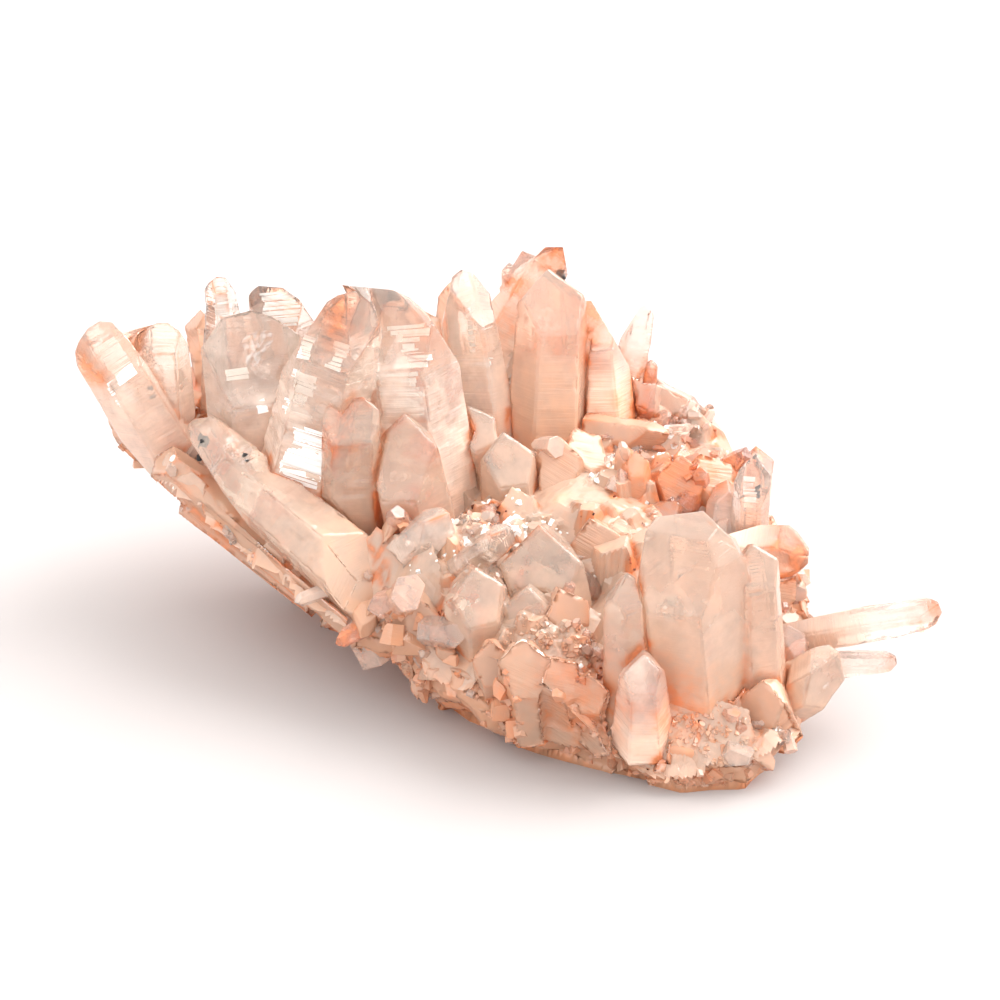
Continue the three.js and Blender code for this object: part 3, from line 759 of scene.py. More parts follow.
@dataclass(frozen=True)
class CrystalNode:
    """The crystals of one node, with worn edges, growth steps and stain.

    Attributes:
        name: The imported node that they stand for.
        crystals: The crystals that are in it.
        spacing: The distance between vertices of the skin.
        bevel: The width of the worn strip beside each edge.
        chip: How deep the edges are chipped.
        row: How high the growth steps across the sides are.
        column: How wide they are.
        seed: Which noise.
    """

    name: str
    crystals: tuple
    spacing: float = 0.46
    bevel: float = 0.24
    chip: float = 0.5
    row: float = 1.6
    column: float = 4.2
    seed: int = 1

    def build(self, material: bpy.types.Material) -> bpy.types.Object:
        """Builds the piece that stands for the node.

        Args:
            material: The quartz that it is of.

        Returns:
            The piece.
        """
        skin = FacetedSolid(self.name).skin(self.spacing, self.bevel)
        self.grow(skin)
        piece = make_piece(f"{self.name}_faces", skin, material)
        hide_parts(self.name)
        return piece

    def owners(self, skin: Skin) -> np.ndarray:
        """Shares the node's vertices out among its crystals.

        Args:
            skin: The node's skin.

        Returns:
            The number of the crystal that each vertex belongs to, in the node's own order.
        """
        gaps = []
        for crystal in self.crystals:
            offset = skin.points - crystal.root
            beside = offset - np.outer(offset @ crystal.axis, crystal.axis)
            gaps.append(np.linalg.norm(beside, axis=1) / crystal.width)
        return np.argmin(gaps, axis=0)

    def grow(self, skin: Skin) -> None:
        """Gives the skin its relief and the values that the materials read.

        Args:
            skin: The skin, which is changed.
        """
        points, count = skin.points, len(skin.points)
        height, across, side, depth = np.zeros((4, count))
        rust, milk = np.zeros((2, count))
        drawn = np.zeros((count, 3))
        contact = contact_at(points, self.name)
        mottle = smooth(-0.25, 0.45, fractal(points, 5, self.seed + 40, 4))
        owners = self.owners(skin)
        for number, crystal in enumerate(self.crystals):
            mine = owners == number
            height[mine] = (points[mine] - crystal.root) @ crystal.axis
            share = height[mine] / crystal.length
            beside = np.cross(crystal.axis, skin.facing[mine])
            across[mine] = ((points[mine] - crystal.root) * beside).sum(1) + 40
            upright = 1 - smooth(0.25, 0.45, np.abs(skin.facing[mine] @ crystal.axis))
            side[mine] = upright
            crest = skin.crest[mine]
            depth[mine] = crystal.ledges * upright * self.steps(skin, mine, crystal, number)
            depth[mine] += 0.25 * np.maximum(0, crystal.worn - crest) ** 2 / crystal.worn
            near_tip = smooth(0.6, 1.0, share)
            lines = np.exp(-crest / 0.5) * (0.35 + 0.65 * near_tip)
            films = smooth(0.1, 0.5, fractal(points[mine], 9, self.seed + 60))
            rust[mine] = crystal.rust * (1.8 * lines + 0.3 * near_tip + 0.3 * films)
            wisps = smooth(0.05, 0.55, fractal(points[mine] * (1, 1, 0.6), 8, self.seed + 50, 3))
            milk[mine] = 0.7 * (1 - smooth(0, 0.8, share)) + 0.3 * wisps + 0.15 * (crystal.length < SHORT)
            if (self.name, number) in BLUNTING:
                beyond = np.maximum(0, height[mine] - crystal.length + END_RISE * crystal.width)
                drawn[mine] = np.outer(BLUNT * beyond, crystal.axis)
        rust = (rust + 0.9 * contact + 0.5 * np.exp(-skin.crease / 0.6)) * mottle
        depth += 0.05 * (1 + cloud(points, 5.5, self.seed + 3))
        depth += 0.02 * (1 + cloud(points, 1.5, self.seed + 5))
        chips = smooth(0.25, 0.8, cloud(points, 2.4, self.seed + 9)) * self.chip
        depth += chips * np.exp(-skin.crest / 0.35)
        depth += edge_depth(skin, self.bevel)
        skin.points = points - skin.normals() * depth[:, None] + drawn
        for number in range(len(self.crystals)):
            mine = np.flatnonzero(owners == number)
            for point, facing in BLUNTING.get((self.name, number), ()):
                beyond = (skin.points[mine] - GROWTH_TO_ROW - point) @ facing
                skin.points[mine] -= np.outer(np.maximum(0, beyond), facing)
        skin.values = {
            "height": height + 60,
            "across": across,
            "side": side,
            "rust": np.clip(rust + stained(points), 0, 1),
            "milk": np.clip(milk, 0, 1),
        }

    def steps(self, skin: Skin, mine: np.ndarray, crystal: Crystal, number: int) -> np.ndarray:
        """The growth steps that cross a crystal's sides.

        Args:
            skin: The skin.
            mine: Which of its vertices are this crystal's.
            crystal: The crystal.
            number: Its number in the node.

        Returns:
            How far each step is set back, mostly from 0 to 1.
        """
        points, facing = skin.points[mine], skin.facing[mine]
        offset = points - crystal.root
        across = np.cross(crystal.axis, facing)
        level = offset @ crystal.axis + 0.7 * cloud(points, 8, self.seed + 21)
        beside = (offset * across).sum(1)
        turn = np.arctan2(facing[:, 1], facing[:, 0])
        row = np.floor(level / self.row)
        rise = level / self.row - row
        face = np.round(turn / math.radians(30)) + 20
        keys = np.stack([row + 100, face, np.full(len(row), number + 1.0)], axis=1)
        column = np.floor(beside / self.column + 3 * lattice(keys, self.seed)) + 50
        cells = np.stack([row + 100, column, face], axis=1)
        tilt = (lattice(cells, self.seed + 6) - 0.5) * (rise - 0.5)
        return lattice(cells, self.seed + 5) ** 1.5 + 0.6 * tilt


RIM_RUN = (0.93, -0.1, -0.35)  # the way that the plate's left rim runs: to the right and down


def rim_stretch() -> np.ndarray:
    """Makes noise run in fibres along the plate's left rim.

    Returns:
        The matrix that the places of the noise are multiplied by.
    """
    along = np.array(RIM_RUN)
    along /= np.linalg.norm(along)
    return np.eye(3) - 0.82 * np.outer(along, along)


@dataclass(frozen=True)
class Matrix:
    """The plate: broken massive quartz and the crystals that are fused to it.

    Attributes:
        name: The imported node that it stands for.
        spacing: The distance between vertices of the skin.
        bevel: The width of the worn strip beside each edge.
        rough: How wide and how deep the lumps of the rock are.
        seed: Which noise.
    """

    name: str = "plate"
    spacing: float = 0.8
    bevel: float = 0.22
    rough: tuple = ((5.0, 1.1), (2.2, 0.6), (1.0, 0.25))
    seed: int = 61

    def skin(self) -> Skin:
        """Makes the fine, rough skin of the plate.

        Returns:
            The skin, with the values that its material reads.
        """
        skin = FacetedSolid(self.name).skin(self.spacing, self.bevel)
        points = skin.points
        depth = 0.12 * (1 + cloud(points, 4, self.seed)) + 0.05 * (1 + cloud(points, 1.4, self.seed + 1))
        lumps = sum(
            high * (1 - np.abs(fractal(points, wide, self.seed + 9 + k, 2)) * 2)
            for k, (wide, high) in enumerate(self.rough)
        )
        depth += skin.rock * lumps * 0.7
        fibres = 1 - 2 * np.abs(fractal(points @ rim_stretch(), 2.2, self.seed + 16, 3))
        depth += 0.5 * fibres * (1 - np.abs(skin.facing[:, 2])) * smooth(-5, -25, points[:, 0])
        depth += 0.35 * bare_front(points) * (1 + fractal(points, 1.8, self.seed + 17, 2))
        depth += edge_depth(skin, self.bevel)
        depth += smooth(0.3, 0.8, cloud(points, 2.0, self.seed + 4)) * 0.4 * np.exp(-skin.crest / 0.35)
        ground = points[:, 2] < 0.02
        moved = points - skin.normals() * np.where(ground, 0, depth)[:, None]
        moved[:, 2] = np.maximum(moved[:, 2], 0)
        skin.points = moved
        patches = smooth(0.0, 0.6, fractal(points, 7, self.seed + 5))
        wisps = smooth(0.0, 0.7, fractal(points, 5, self.seed + 8, 4))
        contact = contact_at(points, self.name)
        mottle = smooth(-0.3, 0.4, fractal(points, 5, self.seed + 6, 4))
        crevice = np.maximum(np.exp(-skin.crease / 0.5), contact) * mottle
        lines = np.exp(-skin.crest / 0.4) * (1 - skin.rock) * mottle
        # Rust colour on every face that points down is painted shade: it darkens the undersides and the light
        # they throw onto the floor under the rim.
        below = smooth(0.35, 0.8, -skin.facing[:, 2])
        pale = 1 - 0.6 * bare_front(points)
        rust = (0.25 * patches + 0.9 * crevice + 0.7 * lines + 0.9 * below) * pale
        skin.values = {
            "height": points[:, 2] + 0.4 * points[:, 0] + 80,
            "across": points[:, 0] + points[:, 1] + 150,
            "side": (1 - skin.rock) * smooth(-0.4, 0.4, cloud(points, 6, self.seed + 7)),
            "rust": np.clip(rust + stained(points), 0, 1),
            "milk": np.clip(0.15 + 0.65 * skin.rock + 0.4 * wisps, 0, 1),
        }
        return skin

    def build(self, skin: Skin, material: bpy.types.Material) -> bpy.types.Object:
        """Builds the piece that stands for the plate.

        Args:
            skin: Its skin.
            material: The massive quartz.

        Returns:
            The piece.
        """
        piece = make_piece("plate_rock", skin, material)
        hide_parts(self.name)
        return piece


END_FACE_LEAN = math.radians(51.8)  # quartz's end faces lean this far from square to its axis


def convex_shape(normals: np.ndarray, reaches: np.ndarray, bevel: float) -> tuple:
    """The convex solid that lies behind every plane, with its edges cut.

    Args:
        normals: The directions that the planes face.
        reaches: How far each is from the middle.
        bevel: The width of the cut edges, or 0.

    Returns:
        Its vertices and its triangles.
    """
    count = len(normals)
    triples = np.array([(i, j, k) for i in range(count) for j in range(i) for k in range(j)])
    matrices = normals[triples]
    usable = np.abs(np.linalg.det(matrices)) > 1e-4
    met = np.linalg.solve(matrices[usable], reaches[triples[usable]][..., None])[..., 0]
    met = met[(met @ normals.T <= reaches + 1e-7).all(1)]
    mesh = bmesh.new()
    for place in met:
        mesh.verts.new(place)
    bmesh.ops.remove_doubles(mesh, verts=mesh.verts, dist=1e-3)
    hull = bmesh.ops.convex_hull(mesh, input=mesh.verts)
    spare = [v for v in hull["geom_interior"] if isinstance(v, bmesh.types.BMVert)]
    bmesh.ops.delete(mesh, geom=spare, context="VERTS")
    bmesh.ops.dissolve_limit(mesh, angle_limit=0.02, verts=mesh.verts, edges=mesh.edges)
    if bevel:
        edges = mesh.edges[:]
        bmesh.ops.bevel(
            mesh, geom=edges, offset=bevel, segments=1, profile=0.5, affect="EDGES", clamp_overlap=True
        )
    bmesh.ops.recalc_face_normals(mesh, faces=mesh.faces)
    bmesh.ops.triangulate(mesh, faces=mesh.faces)
    mesh.verts.index_update()
    points = np.array([v.co for v in mesh.verts])
    faces = np.array([[v.index for v in f.verts] for f in mesh.faces])
    mesh.free()
    # The bevel's faces come in an order that changes from run to run, so they are put in one of ours.
    turns = (faces.argmin(axis=1)[:, None] + np.arange(3)) % 3
    faces = np.take_along_axis(faces, turns, axis=1)
    return points, faces[np.lexsort(faces.T)]


def quartz_planes(rng: np.random.Generator, ratio: float) -> tuple:
    """The faces of a small crystal, one unit wide, which stands on the origin along Z.

    Args:
        rng: Where its random numbers come from.
        ratio: Its length over its width.

    Returns:
        The directions that the faces face, and how far each is from the origin.
    """
    turns = np.arange(6) * math.tau / 6 + rng.uniform(0, 1)
    flat = np.stack([np.cos(turns), np.sin(turns), np.zeros(6)], axis=1)
    sides = flat + (0, 0, 0.04)
    sides /= np.linalg.norm(sides, axis=1, keepdims=True)
    ends = flat * math.sin(END_FACE_LEAN) + (0, 0, math.cos(END_FACE_LEAN))
    set_off = np.where(np.arange(6) % 2, rng.uniform(0.15, 0.5, 6), rng.uniform(0, 0.18, 6))
    set_off[0] -= rng.uniform(0, 0.35)
    normals = np.vstack([sides, ends, [(0, 0, -1)]])
    heights = (ratio + set_off) * math.cos(END_FACE_LEAN)
    return normals, np.concatenate([rng.uniform(0.4, 0.58, 6), heights, [0.5]])


def quartz_shape(rng: np.random.Generator, ratio: float, bevel: float) -> tuple:
    """The vertices and triangles of such a crystal, with its edges cut by the bevel's width."""
    return convex_shape(*quartz_planes(rng, ratio), bevel)


def broken_shape(rng: np.random.Generator, bevel: float) -> tuple:
    """A broken lump of quartz about one unit wide, round the origin.

    Args:
        rng: Where its random numbers come from.
        bevel: The width of its cut edges, or 0.

    Returns:
        Its vertices and triangles.
    """
    normals = rng.normal(size=(6, 3))
    normals = np.vstack([normals, np.eye(3), -np.eye(3)])
    normals /= np.linalg.norm(normals, axis=1, keepdims=True)
    return convex_shape(normals, rng.uniform(0.3, 0.6, len(normals)), bevel)


def turned(directions: np.ndarray, spins: np.ndarray) -> np.ndarray:
    """Rotations that turn Z to each direction after a spin about Z.

    Args:
        directions: Unit vectors.
        spins: Angles in radians.

    Returns:
        A 3 by 3 matrix for each, whose columns are the turned axes.
    """
    helper = np.where(np.abs(directions[:, 2:]) < 0.9, (0.0, 0.0, 1.0), (1.0, 0.0, 0.0))
    side = np.cross(helper, directions)
    side /= np.linalg.norm(side, axis=1, keepdims=True)
    other = np.cross(directions, side)
    cos, sin = np.cos(spins)[:, None], np.sin(spins)[:, None]
    return np.stack([side * cos + other * sin, other * cos - side * sin, directions], axis=2)


def joined(parts: list) -> tuple:
    """Joins small meshes into one.

    Args:
        parts: The vertices and the triangles of each.

    Returns:
        The vertices and the triangles of them all.
    """
    starts = np.cumsum([0, *(len(points) for points, _ in parts)])
    faces = [triangles + start for (_, triangles), start in zip(parts, starts)]
    return np.vstack([points for points, _ in parts]), np.vstack(faces)


@dataclass(frozen=True)
class Perches:
    """Places on a skin where small crystals can grow.

    Attributes:
        points: The places.
        normals: The directions that the surface faces there.
    """

    points: np.ndarray
    normals: np.ndarray

    @staticmethod
    def on(skin: Skin, allowed: np.ndarray, count: int, rng: np.random.Generator) -> "Perches":
        """Picks places at random over the triangles of a skin.

        Args:
            skin: The skin.
            allowed: A weight for each vertex, 0 where nothing grows.
            count: How many places are tried.
            rng: Where the random numbers come from.

        Returns:
            The places that lie open to the air.
        """
        corners = skin.points[skin.faces]
        across = np.cross(corners[:, 1] - corners[:, 0], corners[:, 2] - corners[:, 0])
        weights = np.linalg.norm(across, axis=1) * allowed[skin.faces].mean(1)
        picked = rng.choice(len(weights), count, p=weights / weights.sum())
        shares = rng.dirichlet((1, 1, 1), count)
        points = (corners[picked] * shares[..., None]).sum(1)
        normals = across[picked] / np.linalg.norm(across[picked], axis=1, keepdims=True)
        clear = [not covered(p, n) for p, n in zip(points, normals)]
        return Perches(points[clear], normals[clear])


@dataclass(frozen=True)
class Druse:
    """Many small crystals or broken lumps, made as one joined mesh.

    Attributes:
        name: The piece's name.
        tries: How many places are tried.
        width: The least and the greatest width.
        ratios: The lengths over the widths of the shapes, or none for broken lumps.
        splay: How far they lean away from the middle of the plate.
        scatter: How far they lean at random.
        sunk: How deep their feet are, as a share of the width.
        bevel: The width of their cut edges, as a share of the width.
        rust: The least and the greatest stain.
        milk: The least and the greatest milkiness.
        seed: Which random numbers.
        kinds: How many different shapes there are.
    """

    name: str
    tries: int
    width: tuple
    ratios: tuple
    splay: float = 0.4
    scatter: float = 0.5
    sunk: float = 0.25
    bevel: float = 0.03
    rust: tuple = (0.0, 0.4)
    milk: tuple = (0.0, 0.4)
    seed: int = 5
    kinds: int = 14

    def skin(self, perches: Perches) -> Skin:
        """Joins a small crystal at each perch into one mesh.

        Args:
            perches: Where they grow.

        Returns:
            Their skin.
        """
        rng = np.random.default_rng(self.seed)
        shapes = [
            quartz_shape(rng, self.ratios[k % len(self.ratios)], self.bevel)
            if self.ratios
            else broken_shape(rng, self.bevel)
            for k in range(self.kinds)
        ]
        count = len(perches.points)
        outwards = perches.points - (GROWTH_TO_ROW + (*PLATE_MIDDLE, 0))
        outwards[:, 2] = 0
        outwards /= np.linalg.norm(outwards, axis=1, keepdims=True)
        lean = perches.normals * 0.4 + self.splay * outwards + rng.normal(size=(count, 3)) * self.scatter
        lean[:, 2] += 0.8 * smooth(-0.3, 0.3, perches.normals[:, 2])
        lean /= np.linalg.norm(lean, axis=1, keepdims=True)
        frames = turned(lean, rng.uniform(0, math.tau, count))
        widths = self.width[0] + (self.width[1] - self.width[0]) * rng.random(count) ** 2
        feet = perches.points - lean * (widths * self.sunk)[:, None]
        low, high = (np.array(corner) / MM for corner in CAD_BOX)
        parts, values = [], {"height": [], "rust": [], "milk": []}
        for k in range(count):
            shape, triangles = shapes[k % self.kinds]
            placed = shape * widths[k] @ frames[k].T + feet[k]
            if (placed < low).any() or (placed > high).any():
                continue
            parts.append((placed, triangles))
            values["height"].append(shape[:, 2] * widths[k] + 10 * k)
            values["rust"].append(np.full(len(placed), rng.uniform(*self.rust)))
            values["milk"].append(np.full(len(placed), rng.uniform(*self.milk)))
        points, faces = joined(parts)
        values = {name: np.concatenate(rows) for name, rows in values.items()}
        values["rust"] = np.clip(values["rust"] + stained(points), 0, 1)
        values["side"] = np.full(len(points), 0.5)
        values["across"] = points @ (0.7, 0.7, 0.1) + 150
        return Skin(points, faces, values)

    def build(
        self,
        under: Skin,
        allowed: np.ndarray,
        rng: np.random.Generator,
        material: bpy.types.Material,
        slot: str,
    ) -> bpy.types.Object:
        """Builds the piece, with flat shading so that each little face is crisp.

        Args:
            under: What they grow on.
            allowed: A weight for each of its vertices, 0 where nothing grows.
            rng: Where the random places come from.
            material: What they are of.
            slot: Not used.

        Returns:
            The piece.
        """
        perches = Perches.on(under, allowed, self.tries, rng)
        return make_piece(self.name, self.skin(perches), material, flat=True)


FACE_NUMBERS = 20  # room for the faces of one crystal, where crystals and faces share one number


@dataclass(frozen=True)
class Crust:
    """The intergrown crystals that fill the middle of the plate, as one surface of facets.

    Attributes:
        name: The piece's name.
        low: The least x and y of the area.
        high: The greatest x and y.
        step: The distance between vertices.
        coarse: The distance between the places where the plate's level is read.
        reach: How many of these places to each side of one set its level.
        rank: Which of their levels is taken, counted from the lowest.
        lift: How far the surface stands above the plate's level.
        margin: How far in from the plate's rim it reaches that level.
        swells: Where it stands higher: x, y, two half-widths, and by how much as a share of the lift.
        count: How many crystals there are.
        width: The least and the greatest width of a crystal.
        seed: Which random numbers.
    """

    name: str = "intergrown_crust"
    low: tuple = (-62.0, -30.0)
    high: tuple = (62.0, 46.0)
    step: float = 0.4
    coarse: float = 1.6
    reach: int = 3
    rank: int = 8
    lift: float = 3.4
    margin: float = 9.0
    swells: tuple = (
        (10, -2, 30, 17, 1.1),
        (45, -20, 13, 6, 1.8),
        (-11, -23, 7, 5, 4.4),
        (24, -24, 12, 6, 0.5),
        (8, -17, 16, 9, 2.5),
    )
    count: int = 1500
    width: tuple = (2.5, 9.0)
    seed: int = 51

    def levels(self) -> tuple:
        """Reads the plate's level below its crystals.

        Returns:
            The level and how far in from the rim it is, on the coarse grid, as rows of y.
        """
        plate = BVHTree.FromPolygons(*SHAPES["plate"])
        xs = np.arange(self.low[0], self.high[0], self.coarse) + GROWTH_TO_ROW[0]
        ys = np.arange(self.low[1], self.high[1], self.coarse) + GROWTH_TO_ROW[1]
        top = np.full((len(ys), len(xs)), np.nan)
        for i, y in enumerate(ys):
            for j, x in enumerate(xs):
                met = plate.ray_cast(Vector((x, y, 90)), Vector((0, 0, -1)))[0]
                if met is not None:
                    top[i, j] = met[2]
        outside = np.argwhere(np.isnan(top))
        cells = np.stack(np.indices(top.shape), axis=-1).reshape(-1, 2)
        away = [
            np.linalg.norm(part[:, None] - outside[None], axis=2).min(1)
            for part in np.array_split(cells, 20)
        ]
        none = 99.0  # higher than the whole cluster, for a place with no plate below it
        level = self.windows(np.nan_to_num(top, nan=none), self.reach, constant_values=none)
        level = np.sort(level.reshape(*top.shape, -1), axis=2)[..., self.rank]
        level = np.where(level > none - 9, np.nanmin(top), level)
        level = self.windows(level, 2, mode="edge").mean((2, 3))
        away = (np.concatenate(away) * self.coarse).reshape(top.shape)
        return level, self.windows(away, 1, mode="edge").mean((2, 3))

    @staticmethod
    def windows(table: np.ndarray, reach: int, **padding: object) -> np.ndarray:
        """The square of values round each place of a table, padded at its edge as np.pad does."""
        size = 2 * reach + 1
        return np.lib.stride_tricks.sliding_window_view(np.pad(table, reach, **padding), (size, size))

    def swell(self, places: np.ndarray) -> np.ndarray:
        """Adds up the swells.

        Args:
            places: The x and y of each place, in mm.

        Returns:
            How much higher the surface is there, as a share of the lift.
        """
        total = np.zeros(len(places))
        for x, y, wide, deep, share in self.swells:
            offset = (places - GROWTH_TO_ROW[:2] - (x, y)) / (wide, deep)
            total += share * (1 - smooth(0.6, 1.3, np.linalg.norm(offset, axis=1)))
        return total

    def growth(self, places: np.ndarray, away: np.ndarray) -> np.ndarray:
        """How far the surface has grown above the plate's level, as a share of the lift."""
        return smooth(1.5, self.margin, away) + self.swell(places) * smooth(0.5, 4.5, away)

    def read(self, table: np.ndarray, places: np.ndarray) -> np.ndarray:
        """Reads a coarse table between its places.

        Args:
            table: The values, as rows of y.
            places: The x and y of each place, in mm.

        Returns:
            The value at each place.
        """
        at = (places - GROWTH_TO_ROW[:2] - self.low) / self.coarse
        at = np.clip(at, 0, np.array(table.shape)[::-1] - 1.001)
        cell = np.floor(at).astype(int)
        share = at - cell
        x, y = cell[:, 0], cell[:, 1]
        below = table[y, x] * (1 - share[:, 0]) + table[y, x + 1] * share[:, 0]
        above = table[y + 1, x] * (1 - share[:, 0]) + table[y + 1, x + 1] * share[:, 0]
        return below * (1 - share[:, 1]) + above * share[:, 1]

    def skin(self) -> Skin:
        """Makes the surface: the upper side of all the crystals that reach out of the mass.

        Returns:
            The skin.
        """
        rng = np.random.default_rng(self.seed)
        level, depth = self.levels()
        xs = np.arange(self.low[0], self.high[0], self.step) + GROWTH_TO_ROW[0]
        ys = np.arange(self.low[1], self.high[1], self.step) + GROWTH_TO_ROW[1]
        flat = np.stack(np.meshgrid(xs, ys), axis=-1)
        shape = flat.shape[:2]
        places = flat.reshape(-1, 2)
        away = self.read(depth, places)
        floor = self.read(level, places)
        grown = self.growth(places, away)
        rough = fractal(np.column_stack([places, floor]), 6, self.seed, 4)
        top = (floor + self.lift * grown + 0.8 * rough - 3.0 * (1 - smooth(0, 4, away))).reshape(shape)
        owner = np.zeros(shape, int)
        along, side = np.zeros(shape), np.zeros(shape)
        feet = rng.uniform(self.low, self.high, (self.count, 2)) + GROWTH_TO_ROW[:2]
        rims = self.read(depth, feet)
        bases = self.read(level, feet) + self.lift * self.growth(feet, rims)
        outwards = feet - GROWTH_TO_ROW[:2] - PLATE_MIDDLE
        outwards /= np.linalg.norm(outwards, axis=1, keepdims=True)
        lean = np.column_stack([0.5 * outwards, np.full(self.count, 0.7)])
        lean += rng.normal(size=(self.count, 3)) * 0.6
        lean[:, 2] = np.abs(lean[:, 2])
        lean /= np.linalg.norm(lean, axis=1, keepdims=True)
        frames = turned(lean, rng.uniform(0, math.tau, self.count))
        widths = self.width[0] + (self.width[1] - self.width[0]) * rng.random(self.count) ** 2.2
        bare = bare_front(feet)
        widths *= 1 - 0.5 * bare
        for k in range(self.count):
            if rims[k] < 2.5 + 6 * bare[k]:
                continue
            normals, reaches = quartz_planes(rng, rng.uniform(0.9, 1.5))
            normals = normals @ frames[k].T
            width = widths[k]
            foot = np.array([*feet[k], bases[k] - width * rng.uniform(0.55, 0.95)])
            span = int(2.2 * width / self.step) + 1
            column, row = ((feet[k] - (xs[0], ys[0])) / self.step).astype(int)
            rows = slice(max(0, row - span), max(0, row + span))
            columns = slice(max(0, column - span), max(0, column + span))
            here = flat[rows, columns] - foot[:2]
            room = reaches * width - (here[..., None, :] * normals[:, :2]).sum(-1)
            steep = normals[:, 2]
            with np.errstate(divide="ignore", invalid="ignore"):
                levels = room / steep
            upper = np.where(steep > 1e-3, levels, np.inf)
            lower = np.where(steep < -1e-3, levels, -np.inf).max(-1)
            face = upper.argmin(-1)
            high = np.take_along_axis(upper, face[..., None], -1)[..., 0]
            high = np.where(high > lower, high + foot[2], -np.inf)
            wins = high > top[rows, columns]
            top[rows, columns][wins] = high[wins]
            owner[rows, columns][wins] = k * FACE_NUMBERS + face[wins] + 1
            axial = here @ lean[k, :2] + (top[rows, columns] - foot[2]) * lean[k, 2]
            along[rows, columns][wins] = axial[wins] + 10 * (k % 9)
            side[rows, columns][wins] = (face < 6)[wins]
        # The surface comes down to the plate at its rim, so that nothing hangs over it.
        top = np.minimum(top, (floor + 2.3 * away - 3.5).reshape(shape))
        return self.surface(flat, top, owner, along, side, away.reshape(shape))

    def surface(
        self,
        flat: np.ndarray,
        top: np.ndarray,
        owner: np.ndarray,
        along: np.ndarray,
        side: np.ndarray,
        away: np.ndarray,
    ) -> Skin:
        """Turns the levels into a mesh.

        Args:
            flat: The places of the grid.
            top: The level at each.
            owner: Which face of which crystal is on top there, or 0.
            along: How far up that crystal it is.
            side: 1 where that face is a side face.
            away: How far in from the rim it is.

        Returns:
            The skin.
        """
        shape = top.shape
        numbers = np.arange(top.size).reshape(shape)
        a, b, c, d = numbers[:-1, :-1], numbers[:-1, 1:], numbers[1:, 1:], numbers[1:, :-1]
        keep = (away > 1.0)[:-1, :-1] & (away > 1.0)[1:, 1:]
        faces = np.vstack([np.stack([start[keep] for start in three], 1) for three in ((a, b, c), (a, c, d))])
        used, faces = np.unique(faces, return_inverse=True)
        faces = faces.reshape(-1, 3)
        points = np.concatenate([flat, top[..., None]], axis=-1).reshape(-1, 3)[used]
        crystal = owner // FACE_NUMBERS
        joint = np.zeros(shape)
        for axis in (0, 1):
            change = (np.diff(crystal, axis=axis) != 0).astype(float)
            joint += np.insert(change, 0, 0, axis=axis) + np.insert(change, change.shape[axis], 0, axis=axis)
        soft = sum(np.roll(joint, step, axis) for axis in (0, 1) for step in (1, -1)) / 4
        joint = np.clip(0.6 * joint + 0.5 * soft, 0, 1).ravel()[used]
        own = lattice(np.stack([crystal.ravel()[used], used * 0, used * 0], axis=1), seed=7)
        mottle = smooth(-0.1, 0.5, fractal(points, 5, self.seed + 40, 4))
        wisps = smooth(0.0, 0.6, fractal(points, 4, self.seed + 41, 4))
        bare = bare_front(points)
        rust = (1.1 * joint + 0.3 * smooth(0.7, 1.0, own) + 0.1 * bare) * mottle
        grain = np.stack([fractal(points, 1.4, self.seed + 42 + k, 2) for k in range(3)], axis=1)
        points = points + grain * (0.12 + 0.5 * bare)[:, None]
        return Skin(
            points,
            faces,
            {
                "height": along.ravel()[used] + 20,
                "across": points @ (0.7, 0.7, 0.1) + 150,
                "side": side.ravel()[used],
                "rust": np.clip(rust + 0.6 * stained(points), 0, 1),
                "milk": np.clip(0.4 + 0.4 * own + 0.3 * wisps, 0, 1),
            },
        )

    def build(self, skin: Skin, material: bpy.types.Material) -> bpy.types.Object:
        """Builds the piece, with flat shading so that each facet is crisp."""
        return make_piece(self.name, skin, material, flat=True)


def add_node(
    tree: bpy.types.NodeTree, kind: str, inputs: dict, give: int | str = 0, **settings: object
) -> bpy.types.NodeSocket | None:
    """Adds a node with its settings and links.

    Args:
        tree: The material's node tree.
        kind: The node's type.
        inputs: A value, or a socket to link, for each input by name or number.
        give: The name or number of the output that is wanted.
        settings: The node's own settings.

    Returns:
        That output, or none where the node has no outputs.
    """
    node = tree.nodes.new(kind)
    for name, value in settings.items():
        setattr(node, name, value)
    for socket, value in inputs.items():
        if isinstance(value, bpy.types.NodeSocket):
            tree.links.new(value, node.inputs[socket])
        else:
            node.inputs[socket].default_value = value
    return node.outputs[give] if node.outputs else None


def per(millimetres: float) -> float:
    """The scale of a pattern whose lumps are that wide."""
    return 1 / (millimetres * MM)


def new_tree(name: str) -> tuple:
    """Makes a material with an empty node tree.

    Args:
        name: The material's name.

    Returns:
        The material and its tree.
    """
    material = bpy.data.materials.new(name)
    material.use_nodes = True
    material.node_tree.nodes.clear()
    return material, material.node_tree


MIX_A, MIX_B, MIX_OUT = 6, 7, 2  # the colour sockets of a Mix node


